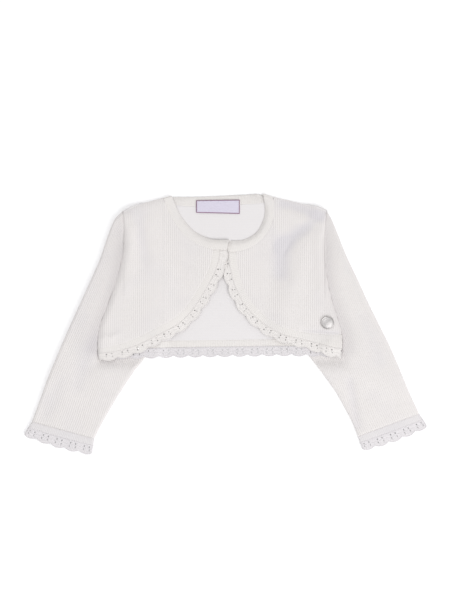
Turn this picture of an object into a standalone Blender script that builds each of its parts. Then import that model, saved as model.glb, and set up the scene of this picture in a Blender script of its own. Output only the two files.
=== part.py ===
"""A baby's cropped cardigan in fine knit, laid out flat, face up, with its sleeves folded down.

The neck points to +Y and the front faces +Z, so the wearer's right side is at -X. Every piece
is a wall of knit: the back lies lowest, the sleeves run out from beneath it, the two fronts lie
on top, and a scalloped crochet edging follows the fronts, the hem and the cuffs. Lengths below
are in millimetres; CENTRE is taken off at the end, so the origin is under the outline's middle.
"""

import math
from collections import namedtuple

import bmesh
import bpy
from mathutils import Matrix, Vector

MM = 0.001
NEARLY = 1e-6
BELOW = Vector((0, 0, -1000))
ABOVE = Vector((0, 0, 1000))

# The knit and how its layers lie.
WALL = 1.4
SEAM_GAP = 0.4  # a seam's line runs in its middle
CHORD_ROOM = 0.35  # the edging clears a front's straight chords by this much more
LAYER_GAP = 0.4
FRONT_LOFT = 1.4  # the air between back and front
SLEEVE_UNDER = 3.6  # a sleeve's thickness beneath the body
SLEEVE_OPEN = 5.4  # and where nothing lies on it
SLEEVE_RISE = 13.0  # it rises over this much past the body's edge
SLEEVE_CLEAR = 3.0  # and starts to rise this far out
BACK_LIFT = SLEEVE_UNDER + LAYER_GAP
SLEEVE_MARGIN = 9.0  # the body is fully lifted this far before it reaches a sleeve
BACK_RAMP = 13.0  # the back climbs over this much
FRONT_RAMP = 34.0  # and the front over this much
EDGE_PUFF = 1.1  # how far the folded sides stand proud
EDGE_PUFF_REACH = 16.0
FOLD_GAP = 1.4  # between the outer faces of front and back along a folded side
BODY_BOTTOM = -46.0  # the body's lowest edge
CLOSURE_RISE = WALL + 0.5  # the right front lies on the left one at the closure
CLOSURE_START, CLOSURE_REACH = -38.0, 30.0  # it climbs from this x over this much
CLOSURE_FOOT, CLOSURE_HEIGHT = 16.0, 34.0  # and from this y over this much
CENTRE = Vector((-0.25, -0.275))

# The crochet edging.
SCALLOP_PITCH = 17.0
SCALLOP_HEIGHT = 2.8
STEPS_PER_SCALLOP = 5
FRONT_TRIM = 15.4  # from the seam to the notches
FRONT_TRIM_AT_SIDE = {"right": 13.0, "left": 20.5}
TRIM_CHANGE = 0.72  # the share of its length where a front's edging starts to change
TRIM_PHASE = {"right": 0.0, "left": 13.5}  # where the first arch is cut by the neckband
HEM_TRIM = 17.2
CUFF_SCALLOPS = 10
CUFF_BOW = 2.8  # the cuff's edge is lower in its middle
CUFF_HEIGHT = 4.4
CUFF_SEAM_HEIGHT = 5.4

# The things sewn on.
LABEL_WALL = 1.0
CHARM_RADIUS = 7.5
CHARM_THICK = 2.2
CHARM_RIM = 1.1
CHARM_PLACE = Vector((116.5, 1.0))

# How finely each surface is divided.
FRONT_COLUMNS, FRONT_ROWS = 17, 12
SHOULDER_COLUMNS, BACK_ROWS = 6, 12
NECK_SHARES = (0.02, 0.05, 0.1, 0.19, 0.31, 0.44, 0.56, 0.69, 0.81, 0.9, 0.95, 0.98)
SLEEVE_RINGS = 15
RING_STEPS = 8  # across the top of a ring, between its rounded ends
RING_INSET = 2.5  # a ring's end is as thick as the sleeve is this far in
BAND_SECTIONS = 11  # of the neckband over each front
BAND_FLAT = 0.95  # the share of that which lies flat, before the band turns over
BAND_TURN_CLEAR = 0.055  # the share of the back's inner edge beneath the turned band
LABEL_STEPS = 8
CHARM_STEPS = 28
KNOT_STEPS = 12  # points of a smooth curve between two of its knots
PART_POINTS = 80
RINGS_TO_TOP = 1.35  # over 1, the rings lie closer together at the shoulder
FOLD_ANGLES = (90, 60, 30, 0)  # from a folded edge inwards
TURN_ANGLES = (0, 36, 72, 108, 144, 180)  # the neckband over the shoulder

Point = namedtuple("Point", "x y")
SleeveRow = namedtuple("SleeveRow", "outer_x outer_y inner_x inner_y")
CuffEdge = namedtuple("CuffEdge", "outer_x outer_y inner_x inner_y")
Fold = namedtuple("Fold", "x1 y1 x2 y2 height spread")

# The plan curves of each side, from the photograph's outline.
SHOULDER = {  # from the tip to the neckband's outer edge
    "right": (
        Point(-118, 127.5),
        Point(-106.5, 133.5),
        Point(-96.5, 137.5),
        Point(-85, 141),
        Point(-72, 144.5),
    ),
    "left": (
        Point(115.5, 129),
        Point(104, 133.5),
        Point(90, 137),
        Point(76, 140.5),
        Point(54.5, 145.5),
    ),
}
SIDE = {  # from the shoulder tip down the folded side
    "right": (
        Point(-118, 127.5),
        Point(-116.5, 112),
        Point(-117, 90.5),
        Point(-120.5, 67.5),
        Point(-127, 45.5),
        Point(-134.5, 23.5),
        Point(-143, 1.5),
        Point(-147, -19),
        Point(-148, -48),
    ),
    "left": (
        Point(115.5, 129),
        Point(114, 112),
        Point(113.5, 90.5),
        Point(114, 70.5),
        Point(116.5, 50),
        Point(120.5, 30.5),
        Point(126, 12),
        Point(131, -4),
        Point(135, -21.5),
        Point(137, -48),
    ),
}
NECK = {  # the neckband's inner edge, from the centre front to the shoulder
    "right": (
        Point(4, 96.5),
        Point(-16, 97),
        Point(-32, 103.5),
        Point(-41, 111),
        Point(-48, 119.5),
        Point(-54.5, 129.5),
        Point(-62, 147),
    ),
    "left": (
        Point(-8, 94),
        Point(12, 94),
        Point(21, 95.5),
        Point(28.5, 99.5),
        Point(35, 104.5),
        Point(40, 112),
        Point(44, 122),
        Point(45, 133),
        Point(42.5, 149.5),
    ),
}
NECK_SEAM = {  # its outer edge, the same way
    "right": (
        Point(4, 84.5),
        Point(-15, 85),
        Point(-29.5, 89.5),
        Point(-40.5, 95.5),
        Point(-50.5, 104),
        Point(-58.5, 114.5),
        Point(-66, 128),
        Point(-72, 144.5),
    ),
    "left": (
        Point(-8, 82.5),
        Point(12, 82.5),
        Point(23.5, 85),
        Point(32.5, 89.5),
        Point(41, 96),
        Point(48, 104),
        Point(53, 114.5),
        Point(56, 128),
        Point(54.5, 145.5),
    ),
}
FRONT_SEAM = {  # between a front and its edging, from the neckband to the side
    "right": (
        Point(-15, 84.5),
        Point(-17, 72),
        Point(-22.5, 57),
        Point(-31, 42),
        Point(-41, 26),
        Point(-52, 12.5),
        Point(-65.5, 2.5),
        Point(-80.5, -5),
        Point(-94, -12),
        Point(-109.5, -19),
        Point(-126, -24.5),
        Point(-147.2, -28.5),
    ),
    "left": (
        Point(12, 82),
        Point(13.5, 68.5),
        Point(18, 49),
        Point(26.5, 30.5),
        Point(37, 17),
        Point(48, 7),
        Point(61, -1),
        Point(75, -7),
        Point(92, -11.5),
        Point(110, -15),
        Point(133.5, -18),
    ),
}
BACK_NECK = (
    Point(-62, 147),
    Point(-55, 145.4),
    Point(-45, 145.2),
    Point(-20, 145.8),
    Point(10, 147.2),
    Point(27, 148.2),
    Point(42.5, 149.5),
)
BACK_NECK_SEAM = (
    Point(-72, 144.5),
    Point(-70.8, 140.8),
    Point(-65.5, 137),
    Point(-47, 134),
    Point(-20, 134.3),
    Point(10, 135.7),
    Point(32, 136.8),
    Point(47.5, 139),
    Point(52.8, 141.8),
    Point(54.5, 145.5),
)
HEM_SEAM = (
    Point(-147.2, -21.5),
    Point(-90, -20),
    Point(0, -18.5),
    Point(85, -17.5),
    Point(134.7, -19.5),
)
SLEEVE = {  # across each sleeve, from the end hidden under the body to the cuff
    "right": (
        SleeveRow(-119.5, 127, -87.5, 25),
        SleeveRow(-127, 120.5, -85, 11),
        SleeveRow(-132, 110, -83.5, -2),
        SleeveRow(-136.5, 97.5, -83.5, -15),
        SleeveRow(-144.5, 74, -87, -29.5),
        SleeveRow(-155, 50, -95.5, -43),
        SleeveRow(-167, 23.5, -104.5, -54),
        SleeveRow(-179.5, -4, -113.5, -67.5),
        SleeveRow(-192, -33, -124, -83.5),
        SleeveRow(-203.5, -60.5, -133.5, -99.5),
        SleeveRow(-213.5, -88, -142.5, -115.5),
        SleeveRow(-222.5, -112.5, -151, -132),
    ),
    "left": (
        SleeveRow(116.5, 127.5, 85, 27),
        SleeveRow(121.5, 119.5, 83, 13),
        SleeveRow(127, 106.5, 82, -1),
        SleeveRow(131.5, 95, 82.5, -12.5),
        SleeveRow(138.5, 77.5, 85.5, -24.5),
        SleeveRow(150, 53.5, 95.5, -37.5),
        SleeveRow(162.5, 26, 106, -51),
        SleeveRow(175, 0.5, 116.5, -65),
        SleeveRow(187.5, -24.5, 127, -80),
        SleeveRow(199, -51, 136.5, -97),
        SleeveRow(210.5, -79, 144.5, -112),
        SleeveRow(222, -103.5, 151.5, -129.5),
    ),
}
CUFF_EDGE = {  # the notches' line past the last sleeve row
    "right": CuffEdge(-231, -126, -153.5, -148),
    "left": CuffEdge(230.5, -116.5, 156.5, -143.5),
}
LABEL_CORNERS = (Point(-34, 141.5), Point(16, 142.3), Point(-34, 127.3), Point(16, 126))

# Soft folds in the fronts and sleeves: ridges stand up, and troughs have a height below zero.
FRONT_FOLDS = {
    "right": (
        Fold(-106, 129, -78, 127, -0.7, 9),
        Fold(-93, 118, -88, 62, -0.9, 9),
        Fold(-108, 105, -112, 40, 0.9, 8),
        Fold(-139, -16, -124, -17, 1.5, 4.5),
        Fold(-60, 60, -90, 10, 0.4, 16),
    ),
    "left": (
        Fold(70, 133, 108, 121, -0.8, 8),
        Fold(96, 116, 60, 62, -0.9, 11),
        Fold(108, 100, 110, 40, 0.9, 8),
        Fold(114, -25, 122, -25, 2.0, 9),
        Fold(104, -9, 126, -11, -0.4, 5),
        Fold(62, 40, 90, 5, 0.4, 16),
    ),
}
SLEEVE_FOLDS = {
    "right": (
        Fold(-152, -20, -170, -70, -0.8, 9),
        Fold(-190, -66, -206, -104, -0.6, 8),
        Fold(-136, -52, -150, -92, 0.5, 9),
    ),
    "left": (
        Fold(142, -70, 151, -117, -0.9, 6),
        Fold(160, 8, 176, -44, -0.7, 9),
        Fold(196, -64, 208, -92, 0.5, 8),
    ),
}


def smooth(value):
    """From 0 to 1 with no corner at either end."""
    value = min(max(value, 0.0), 1.0)
    return value * value * (3 - 2 * value)


def between(a, b, share):
    return a + (b - a) * share


class Line:
    """A plan curve read by the share of its length, with a straight chord between its points."""

    def __init__(self, points):
        self.points = [Vector(p) for p in points]
        self.lengths = [0.0]
        for start, end in zip(self.points, self.points[1:]):
            self.lengths.append(self.lengths[-1] + (end - start).length)
        self.length = self.lengths[-1]

    def piece(self, share):
        """The chord that holds this share of the length, and how far along it that is."""
        target = min(max(share, 0.0), 1.0) * self.length
        index = 1
        while index < len(self.lengths) - 1 and self.lengths[index] < target:
            index += 1
        run = self.lengths[index] - self.lengths[index - 1]
        return index, (target - self.lengths[index - 1]) / run

    def at(self, share):
        index, along = self.piece(share)
        return between(self.points[index - 1], self.points[index], along)

    def part(self, start, end, away=0.0):
        """A stretch of the curve as a line of its own, moved to its left by a fixed amount."""
        shares = [between(start, end, i / PART_POINTS) for i in range(PART_POINTS + 1)]
        return Line([self.at(s) + self.normal(s) * away for s in shares])

    def ending_at(self, start, end):
        """The same curve with its ends drawn to two places."""
        return Line([start, *self.points[1:-1], end])

    def normal(self, share):
        """The unit normal on the left of the way the curve runs."""
        index, _ = self.piece(share)
        run = (self.points[index] - self.points[index - 1]).normalized()
        return Vector((-run.y, run.x))

    def across(self, y):
        """Where the curve crosses this height, for one that runs up or down."""
        for start, end in zip(self.points, self.points[1:]):
            low, high = sorted((start.y, end.y))
            if low <= y <= high and high > low:
                return between(start.x, end.x, (y - start.y) / (end.y - start.y))
        return min((self.points[0], self.points[-1]), key=lambda end: abs(y - end.y)).x

    def share_of(self, x):
        """The share of the length where the curve first reaches this x."""
        first = self.points[0].x
        for index, point in enumerate(self.points):
            if (point.x - x) * (first - x) <= 0:
                return self.lengths[index] / self.length
        return 1.0

    def share_at(self, y):
        """The share of the length at this height, for a curve that runs down."""
        for index, point in enumerate(self.points):
            if point.y <= y:
                return self.lengths[index] / self.length
        return 1.0


def curve(points):
    """A smooth line through a few points, which leaves each along its neighbours' chord."""
    knots = [Vector(p) for p in points]
    ends = [2 * knots[0] - knots[1]] + knots + [2 * knots[-1] - knots[-2]]
    smoothed = [knots[0]]
    for before, start, end, after in zip(ends, ends[1:], ends[2:], ends[3:]):
        leave, arrive = (end - before) / 2, (after - start) / 2
        for step in range(1, KNOT_STEPS + 1):
            t = step / KNOT_STEPS
            smoothed.append(
                (2 * t**3 - 3 * t**2 + 1) * start
                + (t**3 - 2 * t**2 + t) * leave
                + (3 * t**2 - 2 * t**3) * end
                + (t**3 - t**2) * arrive
            )
    return Line(smoothed)


SIDE_LINE = {side: curve(points) for side, points in SIDE.items()}
SLEEVE_INNER_LINE = {
    side: curve([(rows[0].outer_x, rows[0].outer_y)] + [(row.inner_x, row.inner_y) for row in rows])
    for side, rows in SLEEVE.items()
}


def side_of(x):
    return "right" if x < 0 else "left"


def over_sleeve(x, y, ramp):
    """1 where the body lies on a sleeve, falling to 0 over the ramp beside it."""
    inner = abs(SLEEVE_INNER_LINE[side_of(x)].across(y))
    return smooth((abs(x) - inner + SLEEVE_MARGIN + ramp) / ramp)


def fold_height(folds, x, y):
    """What the soft folds add at a point: each is a bump along a line, faded past its ends."""
    total = 0.0
    place = Vector((x, y))
    for fold in folds:
        start, end = Vector((fold.x1, fold.y1)), Vector((fold.x2, fold.y2))
        run = end - start
        share = min(max((place - start).dot(run) / run.length_squared, 0.0), 1.0)
        away = (place - start - share * run).length
        total += fold.height * math.exp(-((away / fold.spread) ** 2))
    return total


def back_under(x, y):
    """The height of the back's outer face, which is turned down."""
    return BACK_LIFT * over_sleeve(x, y, BACK_RAMP)


def closure_rise(side, x, y):
    """How much higher the right front lies where it laps over the left one."""
    if side == "left":
        return 0.0
    along = smooth((x - CLOSURE_START) / CLOSURE_REACH)
    return CLOSURE_RISE * along * smooth((y - CLOSURE_FOOT) / CLOSURE_HEIGHT)


def front_top(side, x, y):
    """The height of a front's outer face."""
    inside = max(abs(SIDE_LINE[side].across(y)) - abs(x), 0.0)
    puff = EDGE_PUFF * math.exp(-((inside / EDGE_PUFF_REACH) ** 2))
    lift = BACK_LIFT * over_sleeve(x, y, FRONT_RAMP)
    height = 2 * WALL + FRONT_LOFT + lift + puff + closure_rise(side, x, y)
    height += fold_height(FRONT_FOLDS[side], x, y)
    return max(height, back_under(x, y) + 2 * WALL + LAYER_GAP)


def sleeve_top(side, x, y):
    """The height of a sleeve's upper face, which is pressed down beneath the body."""
    outside = max(abs(x) - abs(SIDE_LINE[side].across(y)), BODY_BOTTOM - y)
    risen = smooth((outside - SLEEVE_CLEAR) / SLEEVE_RISE)
    height = between(SLEEVE_UNDER, SLEEVE_OPEN, risen)
    return height + risen * fold_height(SLEEVE_FOLDS[side], x, y)


def patch(top, bottom, start, end, u, v):
    """A point of the sheet stretched between four plan curves that meet at its corners."""
    along = between(top.at(u), bottom.at(u), v)
    down = between(start.at(v), end.at(v), u)
    corners = between(between(top.at(0), top.at(1), u), between(bottom.at(0), bottom.at(1), u), v)
    return along + down - corners


def fold_shares(radius, length, count):
    """Shares across a sheet, close together where it curls over, with the angle of the curl."""
    near = [(radius * (1 - math.sin(math.radians(a))) / length, a) for a in FOLD_ANGLES]
    return near + [(between(near[-1][0], 1, i / count), 0) for i in range(1, count + 1)]


def surface(name, rows, finish, inside, around=False, outward_wall=None):
    """An open sheet through rows of points, given its wall by Solidify.

    inside is a place that the sheet's outer face is turned away from. The wall grows inwards,
    or outwards where outward_wall gives its thickness.
    """
    mesh = bpy.data.meshes.new(name)
    body = bmesh.new()
    grid = [[body.verts.new((p - Vector((*CENTRE, 0))) * MM) for p in row] for row in rows]
    for first, second in zip(grid, grid[1:]):
        for i in range(len(first) if around else len(first) - 1):
            j = (i + 1) % len(first)
            body.faces.new((first[i], first[j], second[j], second[i]))
    body.normal_update()
    seen_from = inside * MM
    outward = sum(f.normal.dot(f.calc_center_median() - seen_from) * f.calc_area() for f in body.faces)
    if outward < 0:
        bmesh.ops.reverse_faces(body, faces=body.faces)
    body.to_mesh(mesh)
    body.free()
    piece = bpy.data.objects.new(name, mesh)
    COLLECTION.objects.link(piece)
    mesh.materials.append(finish)
    mesh.shade_smooth()
    wall = piece.modifiers.new("wall", "SOLIDIFY")
    wall.thickness = (outward_wall or WALL) * MM
    wall.offset = 1 if outward_wall else -1
    return piece


def material(name, colour, roughness, metallic=0.0):
    finish = bpy.data.materials.new(name)
    finish.use_nodes = True
    shader = finish.node_tree.nodes["Principled BSDF"]
    shader.inputs["Base Color"].default_value = (*colour, 1)
    shader.inputs["Roughness"].default_value = roughness
    shader.inputs["Metallic"].default_value = metallic
    finish.diffuse_color = (*colour, 1)
    return finish


def side_part(side, bottom_y):
    """The folded side from the shoulder tip down to a height."""
    line = SIDE_LINE[side]
    return line.part(0, line.share_at(bottom_y))


def curl(top, under):
    """The radius of the rolled edge where two layers meet, below zero for the lower one."""
    return math.copysign((abs(top - under) - FOLD_GAP) / 2, top - under)


def front(side, finish):
    """One front: folded at its side and shoulder, and sewn to the neckband and the edging."""
    half = SEAM_GAP / 2 * (1 if side == "right" else -1)
    band = curve(NECK_SEAM[side])
    neck = band.part(1, band.share_of(FRONT_SEAM[side][0].x), half + math.copysign(CHORD_ROOM, half))
    seam = curve(FRONT_SEAM[side]).part(1, 0, half)
    edge = side_part(side, FRONT_SEAM[side][-1].y).ending_at(SIDE_LINE[side].at(0), seam.at(0))
    seam = seam.ending_at(seam.at(0), neck.at(1))
    shoulder = curve(SHOULDER[side]).ending_at(SIDE_LINE[side].at(0), neck.at(0))
    tip = shoulder.at(0.5)
    radius = curl(front_top(side, *tip), back_under(*tip))
    rows = []
    for v, down_angle in fold_shares(radius, edge.length, FRONT_ROWS):
        width = between(shoulder.length, seam.length, v)
        row = []
        for u, side_angle in fold_shares(radius, width, FRONT_COLUMNS):
            place = patch(shoulder, seam, edge, neck, u, v)
            drop = 1 - math.cos(math.radians(down_angle)) * math.cos(math.radians(side_angle))
            top = front_top(side, *place)
            row.append(Vector((*place, top - curl(top, back_under(*place)) * drop)))
        rows.append(row)
    return surface(f"front_{side}", rows, finish, BELOW)


class Chain:
    """Curves laid end to end, with a corner at each join, read by one share."""

    def __init__(self, lines):
        self.lines = lines
        total = sum(line.length for line in lines)
        self.joins = [0.0]
        for line in lines:
            self.joins.append(self.joins[-1] + line.length / total)

    def at(self, share):
        for line, start, end in zip(self.lines, self.joins, self.joins[1:]):
            if share <= end or line is self.lines[-1]:
                return line.at((share - start) / (end - start))


def back(finish):
    """The back, turned face down, folded up at both sides and shoulders."""
    neck = curve(BACK_NECK_SEAM).part(0, 1, -SEAM_GAP / 2)
    corners = {"right": neck.at(0), "left": neck.at(1)}
    shoulders = {}
    for side, corner in corners.items():
        shoulders[side] = curve(SHOULDER[side]).ending_at(SIDE_LINE[side].at(0), corner)
    top = Chain([shoulders["right"], neck, shoulders["left"].part(1, 0)])
    hem = curve(HEM_SEAM).part(0, 1, SEAM_GAP / 2)
    sides = {}
    for side, end in (("right", hem.at(0)), ("left", hem.at(1))):
        start = SIDE_LINE[side].at(0)
        sides[side] = side_part(side, HEM_SEAM[0].y).ending_at(start, end)
    middle = sides["right"].at(0.5)
    radius = curl(front_top("right", *middle), back_under(*middle))
    first, second = top.joins[1:3]
    curled = fold_shares(radius, hem.length, 0)
    start = curled[-1][0]
    steps = [i / SHOULDER_COLUMNS for i in range(1, SHOULDER_COLUMNS)]
    flat = [between(start, first, s) for s in steps] + [first]
    flat += [between(first, second, s) for s in NECK_SHARES] + [second]
    flat += [between(second, 1 - start, s) for s in steps]
    columns = curled + [(share, 0) for share in flat]
    columns += [(1 - share, angle) for share, angle in reversed(curled)]
    rows = []
    for v, down_angle in fold_shares(radius, sides["right"].length, BACK_ROWS):
        row = []
        for u, side_angle in columns:
            place = patch(top, hem, sides["right"], sides["left"], u, v)
            # The neck is sewn to its band and lies flat: only the shoulders curl over.
            folded = u <= first + NEARLY or u >= second - NEARLY
            down = math.cos(math.radians(down_angle)) if folded else 1.0
            rise = 1 - down * math.cos(math.radians(side_angle))
            under = back_under(*place)
            above = front_top(side_of(place.x), *place)
            row.append(Vector((*place, under - curl(under, above) * rise)))
        rows.append(row)
    return surface("back", rows, finish, ABOVE)


def neckband(finish):
    """The band round the neck: over the fronts, turned at each shoulder, and behind the neck."""
    sections = []

    def lay(side, share):
        edge, seam = curve(NECK[side]).at(share), curve(NECK_SEAM[side]).at(share)
        places = [between(edge, seam, t) for t in (0, 0.5, 1)]
        return [Vector((*p, front_top(side, *p))) for p in places]

    def turn(side):
        edge, seam = curve(NECK[side]).at(1), curve(NECK_SEAM[side]).at(1)
        run = (seam - edge).normalized()
        out = Vector((-run.y, run.x)) * (-1 if side == "right" else 1)
        made = []
        for angle in TURN_ANGLES:
            section = []
            for t in (0, 0.5, 1):
                place = between(edge, seam, t)
                under = back_under(*place)
                radius = (front_top(side, *place) - under) / 2
                reach = radius * (math.sin(math.radians(angle)) - 1)
                height = under + radius * (1 + math.cos(math.radians(angle)))
                section.append(Vector((*(place + out * reach), height)))
            made.append(section)
        return made

    front_shares = [i / BAND_SECTIONS * BAND_FLAT for i in range(BAND_SECTIONS + 1)]
    sections += [lay("right", share) for share in front_shares]
    sections += turn("right")
    edge, seam = curve(BACK_NECK), curve(BACK_NECK_SEAM).part(0, 1, SEAM_GAP / 2)
    for share in NECK_SHARES:
        # The inner edge starts past the turn, where it no longer crosses the turned section.
        inner = edge.at(between(BAND_TURN_CLEAR, 1 - BAND_TURN_CLEAR, share))
        places = [between(inner, seam.at(share), t) for t in (0, 0.5, 1)]
        sections.append([Vector((*p, back_under(*p))) for p in places])
    sections += list(reversed(turn("left")))
    sections += [lay("left", share) for share in reversed(front_shares)]
    return surface("neckband", sections, finish, Vector((0, 130, 2)))


def edging_depth(side, share):
    """How deep a front's edging is down to the notches."""
    change = smooth((share - TRIM_CHANGE) / (1 - TRIM_CHANGE))
    return between(FRONT_TRIM, FRONT_TRIM_AT_SIDE[side], change)


def scallop(along):
    """The edging's outline past its notches: a row of shallow arches."""
    part = along / SCALLOP_PITCH % 1.0
    return SCALLOP_HEIGHT * (1 - (2 * part - 1) ** 2)


def edging(name, seam, depth, phase, out, height, finish, inside, meets):
    """A scalloped strip sewn along a plan curve, whose folded ends curl over.

    depth gives the strip's depth at a share of its length, height gives its outer face, and
    meets gives the layer that each end meets, or None where the end is plain.
    """
    count = max(1, round(seam.length / SCALLOP_PITCH)) * STEPS_PER_SCALLOP
    step_length = SCALLOP_PITCH / STEPS_PER_SCALLOP
    sections = []
    for step in range(count + 1):
        share = step / count
        normal = seam.normal(share) * out
        reach = depth(share) + scallop(phase + step * step_length)
        sewn = SEAM_GAP / 2 + CHORD_ROOM
        places = [seam.at(share) + normal * between(sewn, reach, t) for t in (0, 0.5, 1)]
        sections.append([Vector((*p, height(*p))) for p in places])
    for at_start, met in zip((True, False), meets):
        if met is None:
            continue
        order = sections if at_start else list(reversed(sections))
        along = (order[0][0].xy - order[1][0].xy).normalized()
        radius = abs(curl(order[0][0].z, met(*order[0][0].xy)))
        kept = [s for s in order if (s[0].xy - order[0][0].xy).length > radius * 1.2]
        curled = []
        for angle in FOLD_ANGLES:
            back_off = along * radius * (1 - math.sin(math.radians(angle)))
            section = []
            for point in order[0]:
                turned = curl(point.z, met(*point.xy)) * (1 - math.cos(math.radians(angle)))
                section.append(Vector((*(point.xy - back_off), point.z - turned)))
            curled.append(section)
        order = curled + kept
        sections = order if at_start else list(reversed(order))
    return surface(name, sections, finish, inside)


def front_edging(side, finish):
    return edging(
        f"trim_front_{side}",
        curve(FRONT_SEAM[side]),
        lambda share: edging_depth(side, share),
        TRIM_PHASE[side],
        1 if side == "right" else -1,
        lambda x, y: front_top(side, x, y),
        finish,
        BELOW,
        (None, back_under),
    )


def hem_edging(finish):
    def upper(x, y):
        return front_top(side_of(x), x, y)

    return edging(
        "trim_hem",
        curve(HEM_SEAM),
        lambda share: HEM_TRIM,
        0.0,
        -1,
        back_under,
        finish,
        ABOVE,
        (upper, upper),
    )


def flat_ring(outer, inner, top):
    """A flattened tube's section: round at both ends, level beneath, top gives its height."""
    run = (inner - outer).normalized()
    ends = []
    for place, way in ((outer, run), (inner, -run)):
        radius = top(*(place + way * RING_INSET)) / 2
        ends.append((place + way * radius, radius))
    (start, start_radius), (end, end_radius) = ends
    loop = []
    for angle in (-90, -135, 180, 135, 90):
        turn = math.radians(angle)
        place = start + run * start_radius * math.cos(turn)
        loop.append(Vector((*place, start_radius * (1 + math.sin(turn)))))
    for i in range(1, RING_STEPS):
        place = between(start, end, i / RING_STEPS)
        loop.append(Vector((*place, top(*place))))
    for angle in (90, 45, 0, -45, -90):
        turn = math.radians(angle)
        place = end + run * end_radius * math.cos(turn)
        loop.append(Vector((*place, end_radius * (1 + math.sin(turn)))))
    for i in range(RING_STEPS - 1, 0, -1):
        loop.append(Vector((*between(start, end, i / RING_STEPS), 0)))
    return loop


def sleeve(side, finish):
    """A sleeve: a flattened tube from its hidden end to the cuff's seam."""
    outer = curve([(row.outer_x, row.outer_y) for row in SLEEVE[side]])
    inner = curve([(row.inner_x, row.inner_y) for row in SLEEVE[side]])
    rings = []
    for i in range(SLEEVE_RINGS):
        share = (i / (SLEEVE_RINGS - 1)) ** RINGS_TO_TOP
        ends = outer.at(share), inner.at(share)
        rings.append(flat_ring(*ends, lambda x, y: sleeve_top(side, x, y)))
    middle = sum((sum(ring, Vector()) / len(ring) for ring in rings), Vector()) / len(rings)
    return surface(f"sleeve_{side}", rings, finish, middle, around=True)


def around_ring(loop, count):
    """Points at even steps round a closed loop, from its outer end over the top and back."""
    start = 2  # the loop's outermost point
    points = loop[start:] + loop[: start + 1]
    lengths = [0.0]
    for a, b in zip(points, points[1:]):
        lengths.append(lengths[-1] + (b - a).length)
    found = []
    index = 1
    for step in range(count):
        target = lengths[-1] * step / count
        while lengths[index] < target:
            index += 1
        run = lengths[index] - lengths[index - 1]
        found.append(points[index - 1].lerp(points[index], (target - lengths[index - 1]) / run))
    return found


def cuff_edging(side, finish):
    """The edging round a cuff: a short flattened tube with a scalloped end."""
    row, edge = SLEEVE[side][-1], CUFF_EDGE[side]
    count = CUFF_SCALLOPS * STEPS_PER_SCALLOP
    seam = (Vector((row.outer_x, row.outer_y)), Vector((row.inner_x, row.inner_y)))
    notches = (Vector((edge.outer_x, edge.outer_y)), Vector((edge.inner_x, edge.inner_y)))
    first = around_ring(flat_ring(*seam, lambda x, y: CUFF_SEAM_HEIGHT), count)
    last = around_ring(flat_ring(*notches, lambda x, y: CUFF_HEIGHT), count)
    rings = [[], [], []]
    for step, (near, far) in enumerate(zip(first, last)):
        depth = (far - near).length
        across = 2 * step / count % 1.0
        past = scallop(step / STEPS_PER_SCALLOP * SCALLOP_PITCH) + CUFF_BOW * 4 * across * (1 - across)
        for ring, reach in zip(rings, (SEAM_GAP, depth / 2, depth + past)):
            place = near + (far - near) * reach / depth
            ring.append(Vector((*place.xy, max(place.z, 0.0))))
    middle = sum(rings[1], Vector()) / count
    return surface(f"trim_cuff_{side}", rings, finish, middle, around=True)


def label(finish):
    """The woven label, which lies on the inside of the back just below the neck."""
    corners = [Vector((p.x, p.y)) for p in LABEL_CORNERS]
    rows = []
    for v in (0, 0.5, 1):
        row = []
        for i in range(LABEL_STEPS + 1):
            top_edge = between(corners[0], corners[1], i / LABEL_STEPS)
            low_edge = between(corners[2], corners[3], i / LABEL_STEPS)
            place = between(top_edge, low_edge, v)
            row.append(Vector((*place, back_under(*place) + WALL + SEAM_GAP)))
        rows.append(row)
    return surface("label", rows, finish, BELOW, outward_wall=LABEL_WALL)


def charm(finish):
    """The round metal charm on the left front: a turned disc with a raised rim."""
    profile = (
        (0, CHARM_THICK * 0.75),
        (CHARM_RADIUS - 2 * CHARM_RIM, CHARM_THICK * 0.6),
        (CHARM_RADIUS - 1.4 * CHARM_RIM, CHARM_THICK),
        (CHARM_RADIUS - 0.4 * CHARM_RIM, CHARM_THICK),
        (CHARM_RADIUS, CHARM_THICK * 0.7),
        (CHARM_RADIUS, CHARM_THICK * 0.25),
        (CHARM_RADIUS - 0.5 * CHARM_RIM, 0),
        (0, 0),
    )
    mesh = bpy.data.meshes.new("charm")
    points = [(x * MM, 0, z * MM) for x, z in profile]
    mesh.from_pydata(points, [(i, i + 1) for i in range(len(points) - 1)], [])
    piece = bpy.data.objects.new("charm", mesh)
    COLLECTION.objects.link(piece)
    mesh.materials.append(finish)
    turned = piece.modifiers.new("turned", "SCREW")
    turned.steps = turned.render_steps = CHARM_STEPS
    turned.use_merge_vertices = True
    turned.merge_threshold = 1e-5
    heights = {}
    for x in (-1, 0, 1):
        for y in (-1, 0, 1):
            heights[x, y] = front_top("left", *(CHARM_PLACE + Vector((x, y)) * CHARM_RADIUS))
    rise_x, rise_y = heights[1, 0] - heights[-1, 0], heights[0, 1] - heights[0, -1]
    slope = Vector((-rise_x, -rise_y, 2 * CHARM_RADIUS)).normalized()
    tilt = slope.to_track_quat("Z", "Y").to_matrix()
    # The lowest height at which the tilted disc clears the front all over.
    seat = max(z - (x * rise_x + y * rise_y) / 2 for (x, y), z in heights.items())
    place = Vector((*(CHARM_PLACE - CENTRE), seat + SEAM_GAP)) * MM
    piece.matrix_world = Matrix.Translation(place) @ tilt.to_4x4()
    return piece


for old in list(bpy.data.objects):
    bpy.data.objects.remove(old, do_unlink=True)
COLLECTION = bpy.data.collections.new("cropped_cardigan")
bpy.context.scene.collection.children.link(COLLECTION)

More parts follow.
